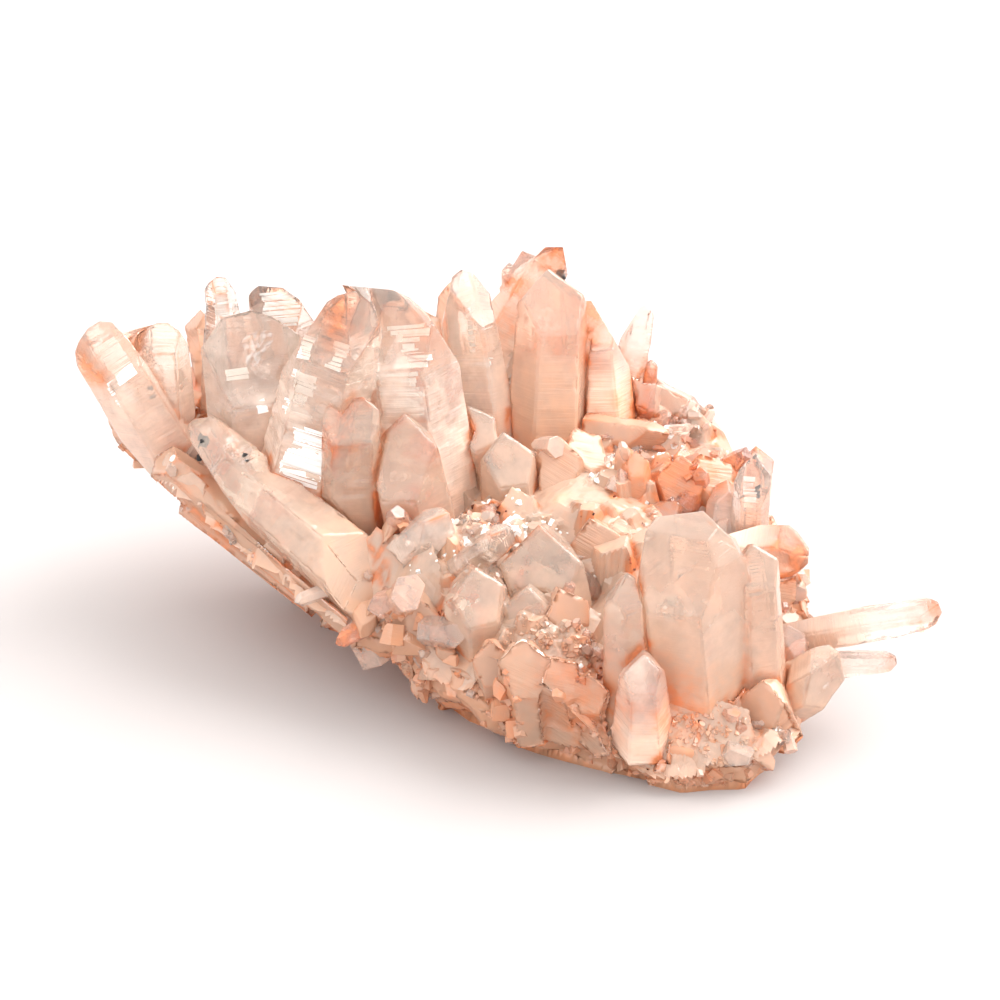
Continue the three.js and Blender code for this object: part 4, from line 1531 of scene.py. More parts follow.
@dataclass(frozen=True)
class QuartzFinish:
    """Quartz with grown faces: glassy, see-through where it has no veil, milky where it has.

    Attributes:
        name: The material's name.
        tint: The colour of the clear quartz.
        clear: How much light passes where there is no veil.
        veiled: How much passes where the veil is thickest.
        roughness: How dull the faces are.
        veil: The colour of the milky veils.
        stain: The colour of the iron stain, and on the plate's undersides of painted shade.
        crust: The colour of the stain where it is thickest, and of the deepest painted shade on the plate's
            undersides.
        bump: How strong the fine relief is.
        blocks: How much the growth blocks tilt beside the growth lines.
    """

    name: str
    tint: str
    clear: float
    veiled: float
    roughness: float
    veil: str = "#efc3a6"
    stain: str = "#f5a173"
    crust: str = "#e28a5c"
    bump: float = 0.6
    blocks: float = 0.5

    def relief(
        self, tree: bpy.types.NodeTree, place: bpy.types.NodeSocket, read: dict
    ) -> bpy.types.NodeSocket:
        """Makes the growth lines and the growth blocks of the side faces.

        Args:
            tree: The material's node tree.
            place: Where on the piece it is.
            read: The values of the skin, by name.

        Returns:
            The normal of the surface.
        """
        # Growth lines across the sides. Real ones are about 0.1 mm apart, drawn 0.4 mm apart to show.
        spread = add_node(tree, "ShaderNodeVectorMath", {0: place, 3: per(6)}, operation="SCALE")
        level = add_node(tree, "ShaderNodeCombineXYZ", {0: read["height"]})
        lines_at = add_node(
            tree,
            "ShaderNodeVectorMath",
            {0: level, 1: (1 / 0.4, 0, 0), 2: spread},
            operation="MULTIPLY_ADD",
        )
        lines = add_node(
            tree, "ShaderNodeTexNoise", {"Vector": lines_at, "Scale": 1.0, "Detail": 2, "Roughness": 0.6}
        )
        # Growth blocks 1.5 mm high and 4.3 mm wide, each tilted its own way.
        high, wide = 1.5, 4.3
        grid = add_node(tree, "ShaderNodeCombineXYZ", {0: read["across"], 1: read["height"]})
        block = add_node(
            tree,
            "ShaderNodeTexBrick",
            {
                "Vector": grid,
                "Color1": (0, 0, 0, 1),
                "Color2": (1, 1, 1, 1),
                "Scale": 1.0,
                "Mortar Size": 0.0,
                "Brick Width": wide,
                "Row Height": high,
            },
            offset=0.37,
            squash=1.6,
            squash_frequency=3,
        )
        rise = add_node(tree, "ShaderNodeMath", {0: read["height"], 1: high}, operation="MODULO")
        tilt = add_node(tree, "ShaderNodeMath", {0: block, 1: rise}, operation="MULTIPLY")
        steps = add_node(
            tree, "ShaderNodeMath", {0: tilt, 1: self.blocks, 2: lines}, operation="MULTIPLY_ADD"
        )
        lined = add_node(tree, "ShaderNodeMath", {0: steps, 1: read["side"]}, operation="MULTIPLY")
        return add_node(
            tree, "ShaderNodeBump", {"Height": lined, "Strength": self.bump, "Distance": 0.3 * MM}
        )

    def material(self) -> bpy.types.Material:
        """Makes the material: veils, stain, growth lines and a fine grain.

        Returns:
            The material.
        """
        material, tree = new_tree(self.name)
        place = add_node(tree, "ShaderNodeTexCoord", {}, "Object")
        read = {
            name: add_node(tree, "ShaderNodeAttribute", {}, "Fac", attribute_name=name)
            for name in ("height", "across", "side", "rust", "milk")
        }
        # Flecks and wisps of tiny fluid bubbles, 0.2 to 2 mm wide.
        grain = add_node(
            tree, "ShaderNodeTexNoise", {"Vector": place, "Scale": per(3.0), "Detail": 4, "Roughness": 0.6}
        )
        fleck, flecked = (
            add_node(
                tree,
                "ShaderNodeMapRange",
                {"Value": grain, "From Min": low, "From Max": high, "To Min": least, "To Max": most},
            )
            for low, high, least, most in ((0.4, 0.66, -0.05, 0.13), (0.35, 0.65, 0.6, 1.5))
        )
        milky = add_node(tree, "ShaderNodeMath", {0: read["milk"], 1: fleck}, operation="ADD", use_clamp=True)
        # On the plate, the rust value also holds painted shade on the faces that point down.
        stain = add_node(tree, "ShaderNodeMath", {0: read["rust"], 1: flecked}, operation="MULTIPLY")
        rusty, crusty = (
            add_node(tree, "ShaderNodeMapRange", {"Value": stain, "From Min": low, "From Max": high})
            for low, high in ((0.1, 0.9), (0.8, 1.4))
        )
        colour = linear(self.tint)
        for share, laid_on in ((milky, self.veil), (rusty, self.stain), (crusty, self.crust)):
            colour = add_node(
                tree,
                "ShaderNodeMix",
                {"Factor": share, MIX_A: colour, MIX_B: linear(laid_on)},
                MIX_OUT,
                data_type="RGBA",
            )
        # The veil lets less light through and dulls the face, and a crust of stain nearly closes it.
        clear = add_node(
            tree, "ShaderNodeMapRange", {"Value": milky, "To Min": self.clear, "To Max": self.veiled}
        )
        passes = add_node(tree, "ShaderNodeMapRange", {"Value": crusty, "To Min": clear, "To Max": 0.2})
        dull = add_node(
            tree,
            "ShaderNodeMapRange",
            {"Value": milky, "To Min": self.roughness, "To Max": self.roughness + 0.12},
        )
        shader = add_node(
            tree,
            "ShaderNodeBsdfPrincipled",
            {
                "Base Color": colour,
                "Roughness": dull,
                "IOR": QUARTZ_IOR,
                "Transmission Weight": passes,
                "Normal": self.relief(tree, place, read),
            },
        )
        add_node(tree, "ShaderNodeOutputMaterial", {"Surface": shader})
        return material


@dataclass(frozen=True)
class FilmFinish:
    """The air film in a healed crack, which shines silver inside the crystal."""

    name: str = "healed_crack_film"
    colour: str = "#fffaf6"
    roughness: float = 0.15

    def material(self) -> bpy.types.Material:
        """Makes the material: a glassy film, spotted where it has healed.

        Returns:
            The material.
        """
        material, tree = new_tree(self.name)
        place = add_node(tree, "ShaderNodeTexCoord", {}, "Object")
        # Healed spots of 0.2 to 0.9 mm, where less light passes.
        spots = add_node(tree, "ShaderNodeTexNoise", {"Vector": place, "Scale": per(0.9), "Detail": 3})
        passes = add_node(
            tree,
            "ShaderNodeMapRange",
            {"Value": spots, "From Min": 0.42, "From Max": 0.6, "To Min": 1.0, "To Max": 0.75},
        )
        shader = add_node(
            tree,
            "ShaderNodeBsdfPrincipled",
            {
                "Base Color": linear(self.colour),
                "Roughness": self.roughness,
                "IOR": FILM_IOR,
                "Transmission Weight": passes,
            },
        )
        add_node(tree, "ShaderNodeOutputMaterial", {"Surface": shader})
        return material


@dataclass(frozen=True)
class PaintedGlareFinish:
    """Plain white that paints glare, light thrown back by a face, striped with the growth lines of the face
    in front of it.
    """

    name: str = "painted_glare_white"
    colour: str = "#fffefc"
    roughness: float = 0.3

    def material(self) -> bpy.types.Material:
        """Makes the material: painted white glare, broken by lines 0.3 to 1 mm apart.

        Returns:
            The material.
        """
        material, tree = new_tree(self.name)
        height = add_node(tree, "ShaderNodeAttribute", {}, "Fac", attribute_name="height")
        lines = add_node(
            tree,
            "ShaderNodeTexNoise",
            {"W": height, "Scale": 1.6, "Detail": 3, "Roughness": 0.7},
            noise_dimensions="1D",
        )
        passes = add_node(
            tree,
            "ShaderNodeMapRange",
            {"Value": lines, "From Min": 0.53, "From Max": 0.73, "To Min": 0.05, "To Max": 0.9},
        )
        shader = add_node(
            tree,
            "ShaderNodeBsdfPrincipled",
            {
                "Base Color": linear(self.colour),
                "Roughness": self.roughness,
                "IOR": FILM_IOR,
                "Transmission Weight": passes,
            },
        )
        add_node(tree, "ShaderNodeOutputMaterial", {"Surface": shader})
        return material


@dataclass(frozen=True)
class OxideFinish:
    """Earthy iron or manganese oxide, as grains in the crevices: dull and dark, with no gloss.

    Attributes:
        name: The material's name.
        dark: The colour of its darkest grains.
        light: The colour of its palest grains.
        roughness: How dull it is.
    """

    name: str = "iron_oxide_grains"
    dark: str = "#3d1f16"
    light: str = "#a14f2a"
    roughness: float = 0.8

    def material(self) -> bpy.types.Material:
        """Makes the material: brown mottling from grain to grain.

        Returns:
            The material.
        """
        material, tree = new_tree(self.name)
        place = add_node(tree, "ShaderNodeTexCoord", {}, "Object")
        # Patches of up to 2 mm, so that most grains are of one shade.
        mottle = add_node(tree, "ShaderNodeTexNoise", {"Vector": place, "Scale": per(2), "Detail": 3})
        share = add_node(tree, "ShaderNodeMapRange", {"Value": mottle, "From Min": 0.4, "From Max": 0.62})
        colour = add_node(
            tree,
            "ShaderNodeMix",
            {"Factor": share, MIX_A: linear(self.dark), MIX_B: linear(self.light)},
            MIX_OUT,
            data_type="RGBA",
        )
        dull = {"Base Color": colour, "Roughness": self.roughness}
        shader = add_node(tree, "ShaderNodeBsdfPrincipled", dull)
        add_node(tree, "ShaderNodeOutputMaterial", {"Surface": shader})
        return material


@dataclass(frozen=True)
class Studio:
    """The pale floor, the soft light and the camera at the photograph's angle.

    Attributes:
        target: What the camera looks at.
        turn: How far to the right of the front it stands, in degrees.
        rise: How far above level, in degrees.
        away: How far from the target.
        focal: The focal length over the picture's width.
        drop: How far below the middle of the picture the target is, as a share of its width.
        room: How bright the white walls are.
        ceiling: How bright the ceiling is.
        window: The way to the big soft light.
        window_core: Where the light starts to fade, in degrees from its middle.
        window_edge: Where it has faded.
        window_light: How bright it is.
        card: The colour of the floor, which is matt white card in soft light.
        bounces: How often light may turn back inside a crystal before it leaves.
    """

    target: tuple = (1.75, -7.19, 27)
    turn: float = 30.0
    rise: float = 27.0
    away: float = 520.0
    focal: float = 3.05
    drop: float = 0.02
    room: float = 1.75
    ceiling: float = 2.05
    window: tuple = (0.5, 0.6, 0.75)
    window_core: float = 12.0
    window_edge: float = 32.0
    window_light: float = 9.5
    card: str = "#b3adab"
    bounces: int = 20

    def camera(self) -> None:
        """Makes the scene's camera."""
        turn, rise = math.radians(self.turn), math.radians(self.rise)
        back = Vector((math.sin(turn) * math.cos(rise), -math.cos(turn) * math.cos(rise), math.sin(rise)))
        right = Vector((math.cos(turn), math.sin(turn), 0))
        up = back.cross(right)
        data = bpy.data.cameras.new("camera")
        data.sensor_width = 36
        data.lens = self.focal * data.sensor_width
        data.clip_start, data.clip_end = 0.01, 50
        camera = bpy.data.objects.new("camera", data)
        camera.location = (Vector(self.target) + back * self.away) * MM
        aim = Vector(self.target) * MM + up * (self.drop / self.focal * self.away * MM)
        camera.rotation_euler = (aim - camera.location).to_track_quat("-Z", "Y").to_euler()
        bpy.context.scene.collection.objects.link(camera)
        bpy.context.scene.camera = camera

    def floor(self) -> None:
        """Makes the pale floor, which has no gloss and so takes only the soft shadow."""
        mesh = bmesh.new()
        bmesh.ops.create_grid(mesh, x_segments=1, y_segments=1, size=3)
        data = bpy.data.meshes.new("floor")
        mesh.to_mesh(data)
        mesh.free()
        material, tree = new_tree("matt_white_card")
        paint = {"Base Color": linear(self.card), "Roughness": 0.9}
        shader = add_node(tree, "ShaderNodeBsdfPrincipled", paint)
        add_node(tree, "ShaderNodeOutputMaterial", {"Surface": shader})
        data.materials.append(material)
        floor = bpy.data.objects.new("floor", data)
        bpy.context.scene.collection.objects.link(floor)

    def build(self) -> None:
        """Makes the camera, the floor and all the light."""
        self.camera()
        self.floor()
        world = bpy.data.worlds.new("studio")
        world.use_nodes = True
        tree = world.node_tree
        ray = add_node(tree, "ShaderNodeTexCoord", {}, "Generated")
        near = add_node(
            tree,
            "ShaderNodeVectorMath",
            {0: ray, 1: Vector(self.window).normalized()},
            "Value",
            operation="DOT_PRODUCT",
        )
        low, high = (math.cos(math.radians(angle)) for angle in (self.window_edge, self.window_core))
        level = add_node(tree, "ShaderNodeSeparateXYZ", {0: ray}, "Z")
        room = add_node(
            tree,
            "ShaderNodeMapRange",
            {"Value": level, "From Min": 0.15, "From Max": 0.75, "To Min": self.room, "To Max": self.ceiling},
        )
        glow = add_node(
            tree,
            "ShaderNodeMapRange",
            {"Value": near, "From Min": low, "From Max": high, "To Min": room, "To Max": self.window_light},
        )
        sky = tree.nodes["Background"]
        sky.inputs["Color"].default_value = (1, 1, 1, 1)
        tree.links.new(glow, sky.inputs["Strength"])
        scene = bpy.context.scene
        scene.world = world
        scene.view_settings.view_transform = "Standard"
        scene.view_settings.look = "None"
        scene.cycles.max_bounces = self.bounces
        scene.cycles.glossy_bounces = 12
        scene.cycles.transmission_bounces = self.bounces
        scene.cycles.diffuse_bounces = 4


FINISHES = {
    # Rock crystal with grown faces: mirror-bright, and as dark or bright as what lies behind it.
    CLEAR: QuartzFinish(CLEAR.value, clear=1.0, veiled=0.5, roughness=0.01, tint="#fffaf4"),
    # Rose quartz with veils of tiny fluid bubbles: as bright, but hazy and pink towards its foot.
    VEILED: QuartzFinish(
        VEILED.value, clear=0.87, veiled=0.15, roughness=0.02, tint="#fff3e7", veil="#fedcc5", bump=0.5
    ),
    # So many bubbles that the crystal glows pale pink and only its edges and tip let light through.
    MILKY: QuartzFinish(
        MILKY.value, clear=0.8, veiled=0.3, roughness=0.04, tint="#fde8d5", veil="#e9bb9c", bump=0.25
    ),
}
# Massive quartz as it broke from the rock: duller and deeper in colour, like coarse sugar.
MASSIVE = QuartzFinish(
    "broken_massive_quartz", clear=0.55, veiled=0.2, roughness=0.08, tint="#f3c8ab", veil="#d69f7d"
)


@dataclass(frozen=True)
class Cracks:
    """Healed cracks: thin wavy films of fluid bubbles inside the larger crystals.

    Attributes:
        name: The piece's name.
        least_width: How wide a crystal is at least that has them.
        most: How many are in a crystal at most.
        rings: The rows of vertices from the middle of a film to its edge.
        spokes: The vertices in a row.
        seed: Which random numbers.
    """

    name: str = "healed_cracks"
    least_width: float = 8.0
    most: int = 5
    rings: int = 7
    spokes: int = 22
    seed: int = 31

    def film(self, rng: np.random.Generator) -> np.ndarray:
        """Makes one film of about unit radius.

        Args:
            rng: Where its random numbers come from.

        Returns:
            Its vertices, the middle first.
        """
        turns = np.arange(self.spokes) * math.tau / self.spokes
        waves = sum(
            rng.uniform(0, 0.5) / k * np.sin(k * turns + rng.uniform(0, math.tau)) for k in range(1, 6)
        )
        reach = np.clip(0.8 + waves, 0.35, 1.1)
        shares = np.arange(1, self.rings + 1)[:, None] / self.rings
        x = (shares * reach * np.cos(turns)).ravel()
        y = (shares * reach * np.sin(turns)).ravel()
        flat = np.vstack([(0, 0, 0), np.stack([x, y, np.zeros(len(x))], axis=1)])
        flat[:, 2] = 0.22 * cloud(flat + rng.uniform(0, 50, 3), 0.7, self.seed)
        return flat

    def build(self, material: bpy.types.Material) -> bpy.types.Object:
        """Builds all the films as one piece.

        Args:
            material: What the films look like.

        Returns:
            The piece.
        """
        rng = np.random.default_rng(self.seed)
        first, n = np.arange(self.spokes), self.spokes
        after = (first + 1) % n
        fan = np.stack([np.zeros(n, int), 1 + first, 1 + after], axis=1)
        rows = [fan]
        for ring in range(self.rings - 1):
            a, b = 1 + ring * n + first, 1 + ring * n + after
            rows += [np.stack([a, a + n, b], axis=1), np.stack([b, a + n, b + n], axis=1)]
        pattern = np.vstack(rows)
        parts = []
        for crystal in CRYSTALS:
            if crystal.width < self.least_width:
                continue
            for _ in range(rng.integers(0, self.most + 1)):
                facing = rng.normal(size=3) + 0.8 * crystal.axis
                facing /= np.linalg.norm(facing)
                size = crystal.width * rng.uniform(0.08, 0.27)
                beside = np.cross(crystal.axis, rng.normal(size=3))
                middle = crystal.root + crystal.axis * crystal.length * rng.uniform(0.15, 0.85)
                middle = middle + beside / np.linalg.norm(beside) * crystal.width * rng.uniform(0, 0.26)
                turn = turned(facing[None], rng.uniform(0, math.tau, 1))[0]
                parts.append((self.film(rng) * size @ turn.T + middle, pattern))
        return make_piece(self.name, Skin(*joined(parts)), material)


@dataclass(frozen=True)
class PaintedGlareSheet:
    """A white sheet just behind a face, which paints the glare of light off that face.

    Attributes:
        node: The node whose face it is behind.
        middle: Its middle, on the face.
        facing: The direction that the face faces.
        width: How wide it is across the crystal.
        height: How high it is along the crystal.
        gaps: How ragged and open its rows are.
        deep: How far behind the face it is.
    """

    node: str
    middle: tuple
    facing: tuple
    width: float
    height: float
    gaps: float = 0.2
    deep: float = 0.55

    def corners(self, rng: np.random.Generator) -> np.ndarray:
        """Places its rows of growth blocks.

        Args:
            rng: Where its random numbers come from.

        Returns:
            The corners, four for each row.
        """
        middle = np.array(self.middle) + GROWTH_TO_ROW
        facing = np.array(self.facing) / np.linalg.norm(self.facing)
        crystal = min(
            (c for c in CRYSTALS if c.node == self.node),
            key=lambda c: np.linalg.norm(np.cross(middle - c.root, c.axis)),
        )
        up = crystal.axis - (crystal.axis @ facing) * facing
        up /= np.linalg.norm(up)
        side = np.cross(up, facing)
        rows = []
        level = -self.height / 2
        ends = np.array([-0.4, 0.4])
        while level < self.height / 2:
            high = rng.uniform(0.2, 0.9)
            share = abs(2 * level / self.height)
            ends = ends + self.gaps * rng.uniform(-0.8, 0.8, 2)
            ends = np.clip(ends, (-0.5, 0.12 + 0.2 * share), (-0.12 - 0.2 * share, 0.5))
            x = ends * self.width
            deep = self.deep * rng.uniform(0.75, 1.25)
            slant = rng.uniform(-0.25, 0.25)
            top = level + high
            for across, y in ((x[0], level), (x[1], level + slant), (x[1], top), (x[0], top)):
                lean = 0.1 * rng.uniform(-1, 1)
                rows.append(middle + side * across + up * y - facing * (deep + lean))
            level += high * (1 + self.gaps * rng.uniform(-0.5, 2.5))
        return np.array(rows)


# Painted glare: where a face shows light thrown back white, a white sheet is set just behind it.
PAINTED_GLARE_SHEETS = (
    PaintedGlareSheet("centre_pair", (-28.7, -16.9, 38.8), (0.31, -0.95, 0.0), 9.4, 10.5, 0.04, 0.15),
    PaintedGlareSheet("centre_pair", (-28.2, -15.2, 58.6), (0.38, -0.72, 0.58), 2.6, 4),
    PaintedGlareSheet("centre_pair", (-23.4, -13.7, 57.4), (0.38, -0.72, 0.58), 3.4, 4),
    PaintedGlareSheet("centre_pair", (-16.4, -2.4, 56.4), (0.23, -0.7, 0.68), 8.5, 7),
    PaintedGlareSheet("centre_pair", (-14.8, -5.2, 49.0), (0.4, -0.91, 0.11), 7, 8),
    PaintedGlareSheet("centre_pair", (-29.5, -16.0, 49.5), (0.31, -0.95, 0.0), 6.0, 8),
    PaintedGlareSheet("left_pair", (-66.9, -16.7, 47.9), (0.44, -0.69, 0.58), 4.6, 7.5, 0.06, 0.15),
    PaintedGlareSheet("left_pair", (-65.2, -17.6, 42.6), (0.78, -0.63, 0.05), 3.6, 5),
    PaintedGlareSheet("left_spire", (-57.4, 2.4, 53.4), (0.65, -0.73, 0.18), 3.2, 3.4),
    PaintedGlareSheet("left_block", (-45.6, -11.4, 48.1), (0.5, -0.66, 0.57), 5.0, 1.2, 0.1, 0.1),
    PaintedGlareSheet("left_block", (-40.5, -11.3, 43.9), (0.5, -0.66, 0.57), 2.4, 3.2, 0.1, 0.1),
    PaintedGlareSheet("left_clear", (-50.0, 8.8, 52.0), (0.16, -0.74, 0.65), 7.4, 6, 0.08, 0.3),
    PaintedGlareSheet("back_fractured", (-15.7, 16.8, 52.0), (0.23, -0.97, 0.1), 1.3, 8),
    PaintedGlareSheet("back_fractured", (-13.8, 16.6, 46.6), (0.23, -0.97, 0.1), 5, 1.6),
    PaintedGlareSheet("right_column", (38.5, 17.4, 34.8), (0.32, -0.68, 0.66), 2.4, 4.0),
)


@dataclass(frozen=True)
class PaintedGlareSheets:
    """All the painted glare sheets, as one piece.

    Attributes:
        name: The piece's name.
        rows: The sheets.
        seed: Which random numbers.
    """

    name: str = "painted_glare_sheets"
    rows: tuple = PAINTED_GLARE_SHEETS
    seed: int = 41

    def build(self, material: bpy.types.Material) -> bpy.types.Object:
        """Builds the piece.

        Args:
            material: The painted white glare.

        Returns:
            The piece.
        """
        rng = np.random.default_rng(self.seed)
        points = np.vstack([glare_sheet.corners(rng) for glare_sheet in self.rows])
        first = np.arange(0, len(points), 4)[:, None]
        faces = np.vstack([first + (0, 1, 2), first + (0, 2, 3)])
        # The lines run level, apart from a slight lean, because the crystals stand nearly upright.
        skin = Skin(points, faces, {"height": points @ (0.2, 0.2, 1.0)})
        return make_piece(self.name, skin, material)


@dataclass(frozen=True)
class Inclusions:
    """Dark grains of manganese oxide that have grown into the crystals.

    Attributes:
        name: The piece's name.
        spots: The middle of each, and its width in mm.
        seed: Which random numbers.
    """

    name: str = "dark_inclusions"
    spots: tuple = (
        ((-49.4, -16.5, 37.6), 1.5),
        ((-48.0, -17.6, 37.6), 1.8),
        ((-48.7, -17.5, 36.8), 1.1),
        ((-38.9, -19.4, 37.9), 1.0),
        ((-38.0, -20.2, 37.5), 0.7),
        ((39.1, 19.1, 34.7), 0.9),
        ((39.3, 18.6, 34.0), 1.1),
        ((39.7, 18.2, 33.5), 0.7),
        ((-12.5, 42.9, 54.8), 1.1),
        ((-12.3, 43.7, 53.6), 1.3),
        ((2.8, 4.0, 28.4), 1.1),
        ((2.2, 3.6, 27.8), 0.9),
        ((-62.7, -13.3, 42.7), 0.8),
        ((-62.4, -13.1, 41.1), 0.9),
        ((-49.2, -18.3, 34.5), 1.0),
    )
    seed: int = 61

    def build(self, material: bpy.types.Material) -> bpy.types.Object:
        """Builds them all as one piece.

        Args:
            material: What the oxide looks like.

        Returns:
            The piece.
        """
        rng = np.random.default_rng(self.seed)
        parts = []
        for middle, width in self.spots:
            shape, triangles = broken_shape(rng, 0)
            parts.append((shape * width * rng.uniform(0.6, 1.2, 3) + middle + GROWTH_TO_ROW, triangles))
        return make_piece(self.name, Skin(*joined(parts)), material, flat=True)


@dataclass(frozen=True)
class RimPoints:
    """The few small crystals that poke out below the left rim.

    Attributes:
        name: The piece's name.
        rows: The foot, the tip, the width and the stain of each.
        bevel: The width of their cut edges, as a share of the width.
        side: How strong their growth lines are.
        milk: How milky they are.
        seed: Which random numbers.
    """

    name: str = "points_under_rim"
    rows: tuple = (
        ((-11.5, -27.0, 15.5), (-14.6, -30.2, 13.6), 2.8, 0.8),
        ((-18.5, -25.0, 20.2), (-23.0, -28.8, 18.4), 2.6, 0.1),
    )
    bevel: float = 0.03
    side: float = 0.5
    milk: float = 0.25
    seed: int = 71

    def build(self, material: bpy.types.Material) -> bpy.types.Object:
        """Builds them all as one piece.

        Args:
            material: The quartz that they are of.

        Returns:
            The piece.
        """
        rng = np.random.default_rng(self.seed)
        parts, rust = [], []
        for foot, tip, width, stain in self.rows:
            along = np.subtract(tip, foot)
            length = np.linalg.norm(along)
            shape, triangles = quartz_shape(rng, length / width, self.bevel)
            turn = turned(along[None] / length, rng.uniform(0, math.tau, 1))[0]
            parts.append((shape * width @ turn.T + foot + GROWTH_TO_ROW, triangles))
            rust.append(np.full(len(shape), stain))
        points, faces = joined(parts)
        values = {
            "height": points[:, 2] + 10,
            "across": points[:, 0] + 150,
            "side": np.full(len(points), self.side),
            "rust": np.concatenate(rust),
            "milk": np.full(len(points), self.milk),
        }
        skin = Skin(points, faces, values)
        return make_piece(self.name, skin, material, flat=True)


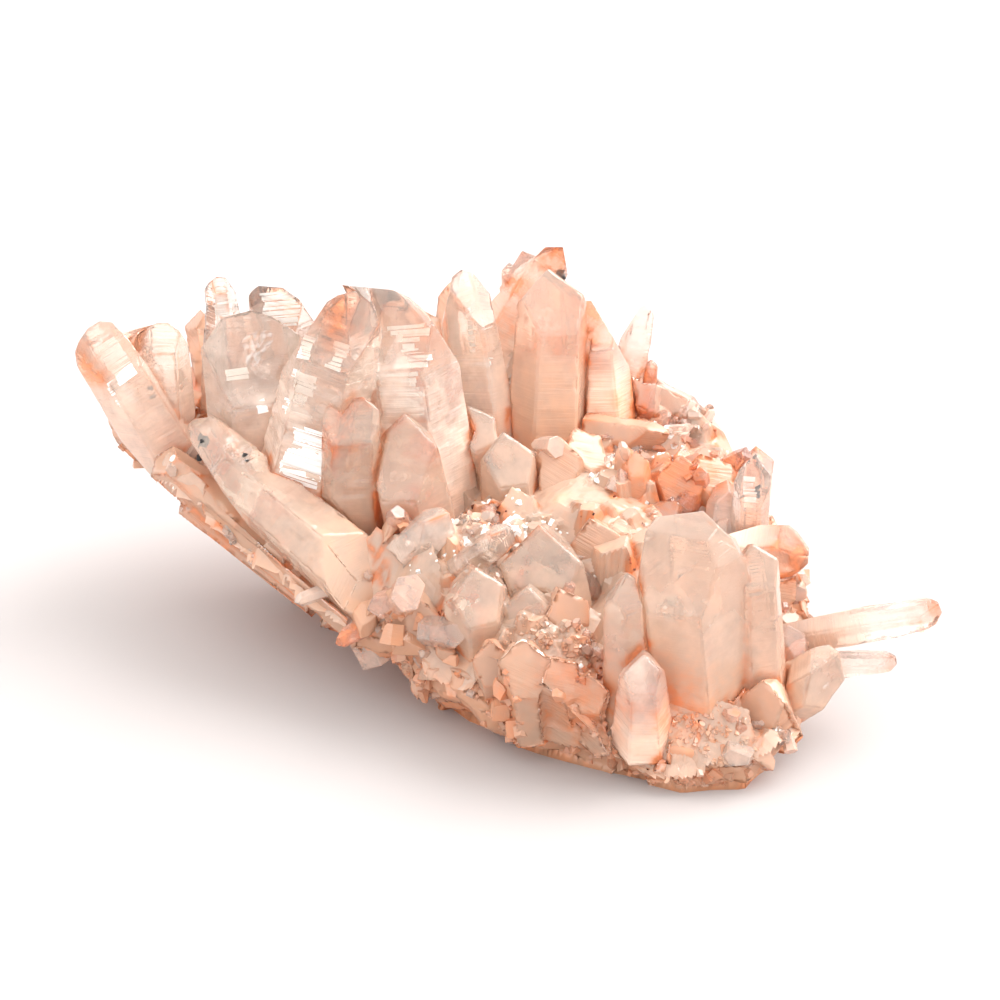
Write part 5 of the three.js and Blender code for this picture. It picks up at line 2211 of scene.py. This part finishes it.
@dataclass(frozen=True)
class SmallPieces:
    """The crystals, chips and grains that are too many and too small to be nodes, and the painted glints.

    One row of random numbers places them all, so the order of the calls is part of the look.

    Attributes:
        rock: The plate's skin.
        mass: The crust's skin.
        quartz: The grown quartz of each habit.
        massive: The broken massive quartz.
        bright: The painted white glare, used here for the glints.
        rng: Where their places come from.
    """

    rock: Skin
    mass: Skin
    quartz: dict
    massive: bpy.types.Material
    bright: bpy.types.Material
    rng: np.random.Generator

    def cover_plate(self) -> None:
        """Covers the plate's open top with points, then with blocks, then with finer points."""
        rock, veiled = self.rock, self.quartz[VEILED]
        x, y, z = (rock.points - GROWTH_TO_ROW).T
        front = bare_front(rock.points)
        grown = smooth(0.2, 0.7, rock.facing[:, 2]) * (z > 3) * (1 - front)
        grown *= smooth(-54, -46, x) * smooth(34, 28, y)
        points = Druse("points_on_plate", 380, (3, 7.5), (1.2, 1.6, 2.2), seed=21, sunk=0.6)
        points.build(rock, grown, self.rng, veiled, "crystal_quartz")
        upper = smooth(0.1, 0.5, rock.facing[:, 2]) * (z > 8) * grown
        blocks = Druse(
            "blocks_on_plate", 260, (2.5, 6), (0.7, 1.0, 1.4), seed=22, sunk=0.4, splay=0.1, scatter=1.5
        )
        blocks.build(rock, upper, self.rng, veiled, "crystal_quartz")
        patchy = smooth(-0.1, 0.4, rock.facing[:, 2]) * (z > 3)
        patchy = patchy * smooth(0.0, 0.4, fractal(rock.points, 12, 81)) * (1 - 0.7 * front)
        small = Druse(
            "small_points", 900, (1.0, 2.8), (1.0, 1.5, 2.2), seed=23, bevel=0, sunk=0.4, scatter=0.8
        )
        small.build(rock, patchy, self.rng, veiled, "crystal_quartz")

    def cover_crust(self) -> None:
        """Sets tiny points in patches on the crust, and white flecks there that paint glints."""
        mass = self.mass
        inner = smooth(0.1, 0.5, fractal(mass.points, 9, 82)) * (1 - bare_front(mass.points))
        tiny = Druse(
            "tiny_points", 1100, (0.7, 2.2), (0.8, 1.2, 1.8), seed=27, bevel=0, sunk=0.4, scatter=0.9
        )
        tiny.build(mass, inner, self.rng, self.quartz[VEILED], "crystal_quartz")
        # Painted glints: white flecks of the glare material where light would sparkle on the crust.
        glint_patches = smooth(0.2, 0.5, fractal(mass.points, 7, 83)) * smooth(60, 10, np.abs(mass.points[:, 0]))
        glint_flakes = Druse("painted_glint_flakes", 420, (0.4, 1.6), (), seed=28, bevel=0, sunk=0.35)
        glint_flakes.build(mass, glint_patches, self.rng, self.bright, "crystal_quartz")

    def line_rim(self) -> None:
        """Lines the broken rim with crumbs, fewer where the granular front is."""
        rock, z = self.rock, self.rock.points[:, 2]
        rim = smooth(-0.85, -0.2, -np.abs(rock.facing[:, 2])) * rock.rock * (z > 0.8)
        rim *= 1 - 0.9 * bare_front(rock.points) * smooth(2.0, 3.5, z)
        crumbs = Druse("crumbs_on_rim", 4200, (0.6, 2.4), (), seed=24, sunk=0.1, rust=(0.1, 0.6), bevel=0)
        crumbs.build(rock, rim, self.rng, self.massive, "massive_quartz")

    def fill_crevices(self, oxide: bpy.types.Material) -> None:
        """Sets grains of iron oxide where the crust is stained most."""
        grains = Druse("oxide_grains", 420, (0.2, 0.8), (), seed=25, sunk=0.2, bevel=0)
        grains.build(self.mass, smooth(0.5, 0.9, self.mass.values["rust"]), self.rng, oxide, "massive_quartz")

    def fill_front(self) -> None:
        """Fills the low front: rubble at the foot of the left rim, then chips, then grains."""
        rock, mass = self.rock, self.mass
        x, y, z = (rock.points - GROWTH_TO_ROW).T
        away = np.linalg.norm(rock.points - GROWTH_TO_ROW - (-8, -27, 20), axis=1)
        rubble = Druse(
            "rubble_at_foot", 120, (2.0, 4.8), (), 0.2, seed=26, sunk=0.3, rust=(0, 0.3), milk=(0.5, 0.9)
        )
        rubble.build(rock, np.exp(-((away / 5.5) ** 2)), self.rng, self.massive, "massive_quartz")
        front = smooth(-12, -5, x) * smooth(34, 26, x) * smooth(-12, -18, y) * (z > 3.5)
        front *= smooth(0.3, -0.2, rock.facing[:, 1])
        chips = Druse(
            "chips_in_front", 260, (1.2, 3.8), (), seed=29, sunk=0.2, rust=(0, 0.5), milk=(0.4, 0.9)
        )
        chips.build(rock, front, self.rng, self.massive, "massive_quartz")
        steep = smooth(0.65, 0.35, mass.normals()[:, 2]) * bare_front(mass.points)
        grains = Druse(
            "grains_in_front", 1200, (0.3, 1), (), seed=30, bevel=0, sunk=0.1, rust=(0, 0.15), milk=(0.4, 1)
        )
        grains.build(mass, steep, self.rng, self.quartz[MILKY], "massive_quartz")


def main() -> None:
    """Builds the studio and every piece of the cluster, and reports each one."""
    logging.basicConfig(level=logging.INFO, format="%(message)s")
    Studio().build()
    quartz = {habit: finish.material() for habit, finish in FINISHES.items()}
    massive = MASSIVE.material()
    names = dict.fromkeys(crystal.node for crystal in CRYSTALS)
    for number, name in enumerate(names):
        crystals = tuple(c for c in CRYSTALS if c.node == name)
        CrystalNode(name, crystals, seed=10 * number + 1).build(quartz[crystals[0].habit])
    rock = Matrix().skin()
    Matrix().build(rock, massive)
    mass = Crust().skin()
    Crust().build(mass, quartz[MILKY])
    # Plain white that paints glare on faces and glints on the crust.
    bright = PaintedGlareFinish().material()
    small = SmallPieces(rock, mass, quartz, massive, bright, np.random.default_rng(11))
    small.cover_plate()
    small.cover_crust()
    small.line_rim()
    small.fill_crevices(OxideFinish().material())
    Cracks().build(FilmFinish().material())
    PaintedGlareSheets().build(bright)
    Inclusions().build(OxideFinish("manganese_oxide", dark="#16181b", light="#3a3230").material())
    small.fill_front()
    RimPoints().build(quartz[VEILED])


if __name__ == "__main__":
    main()
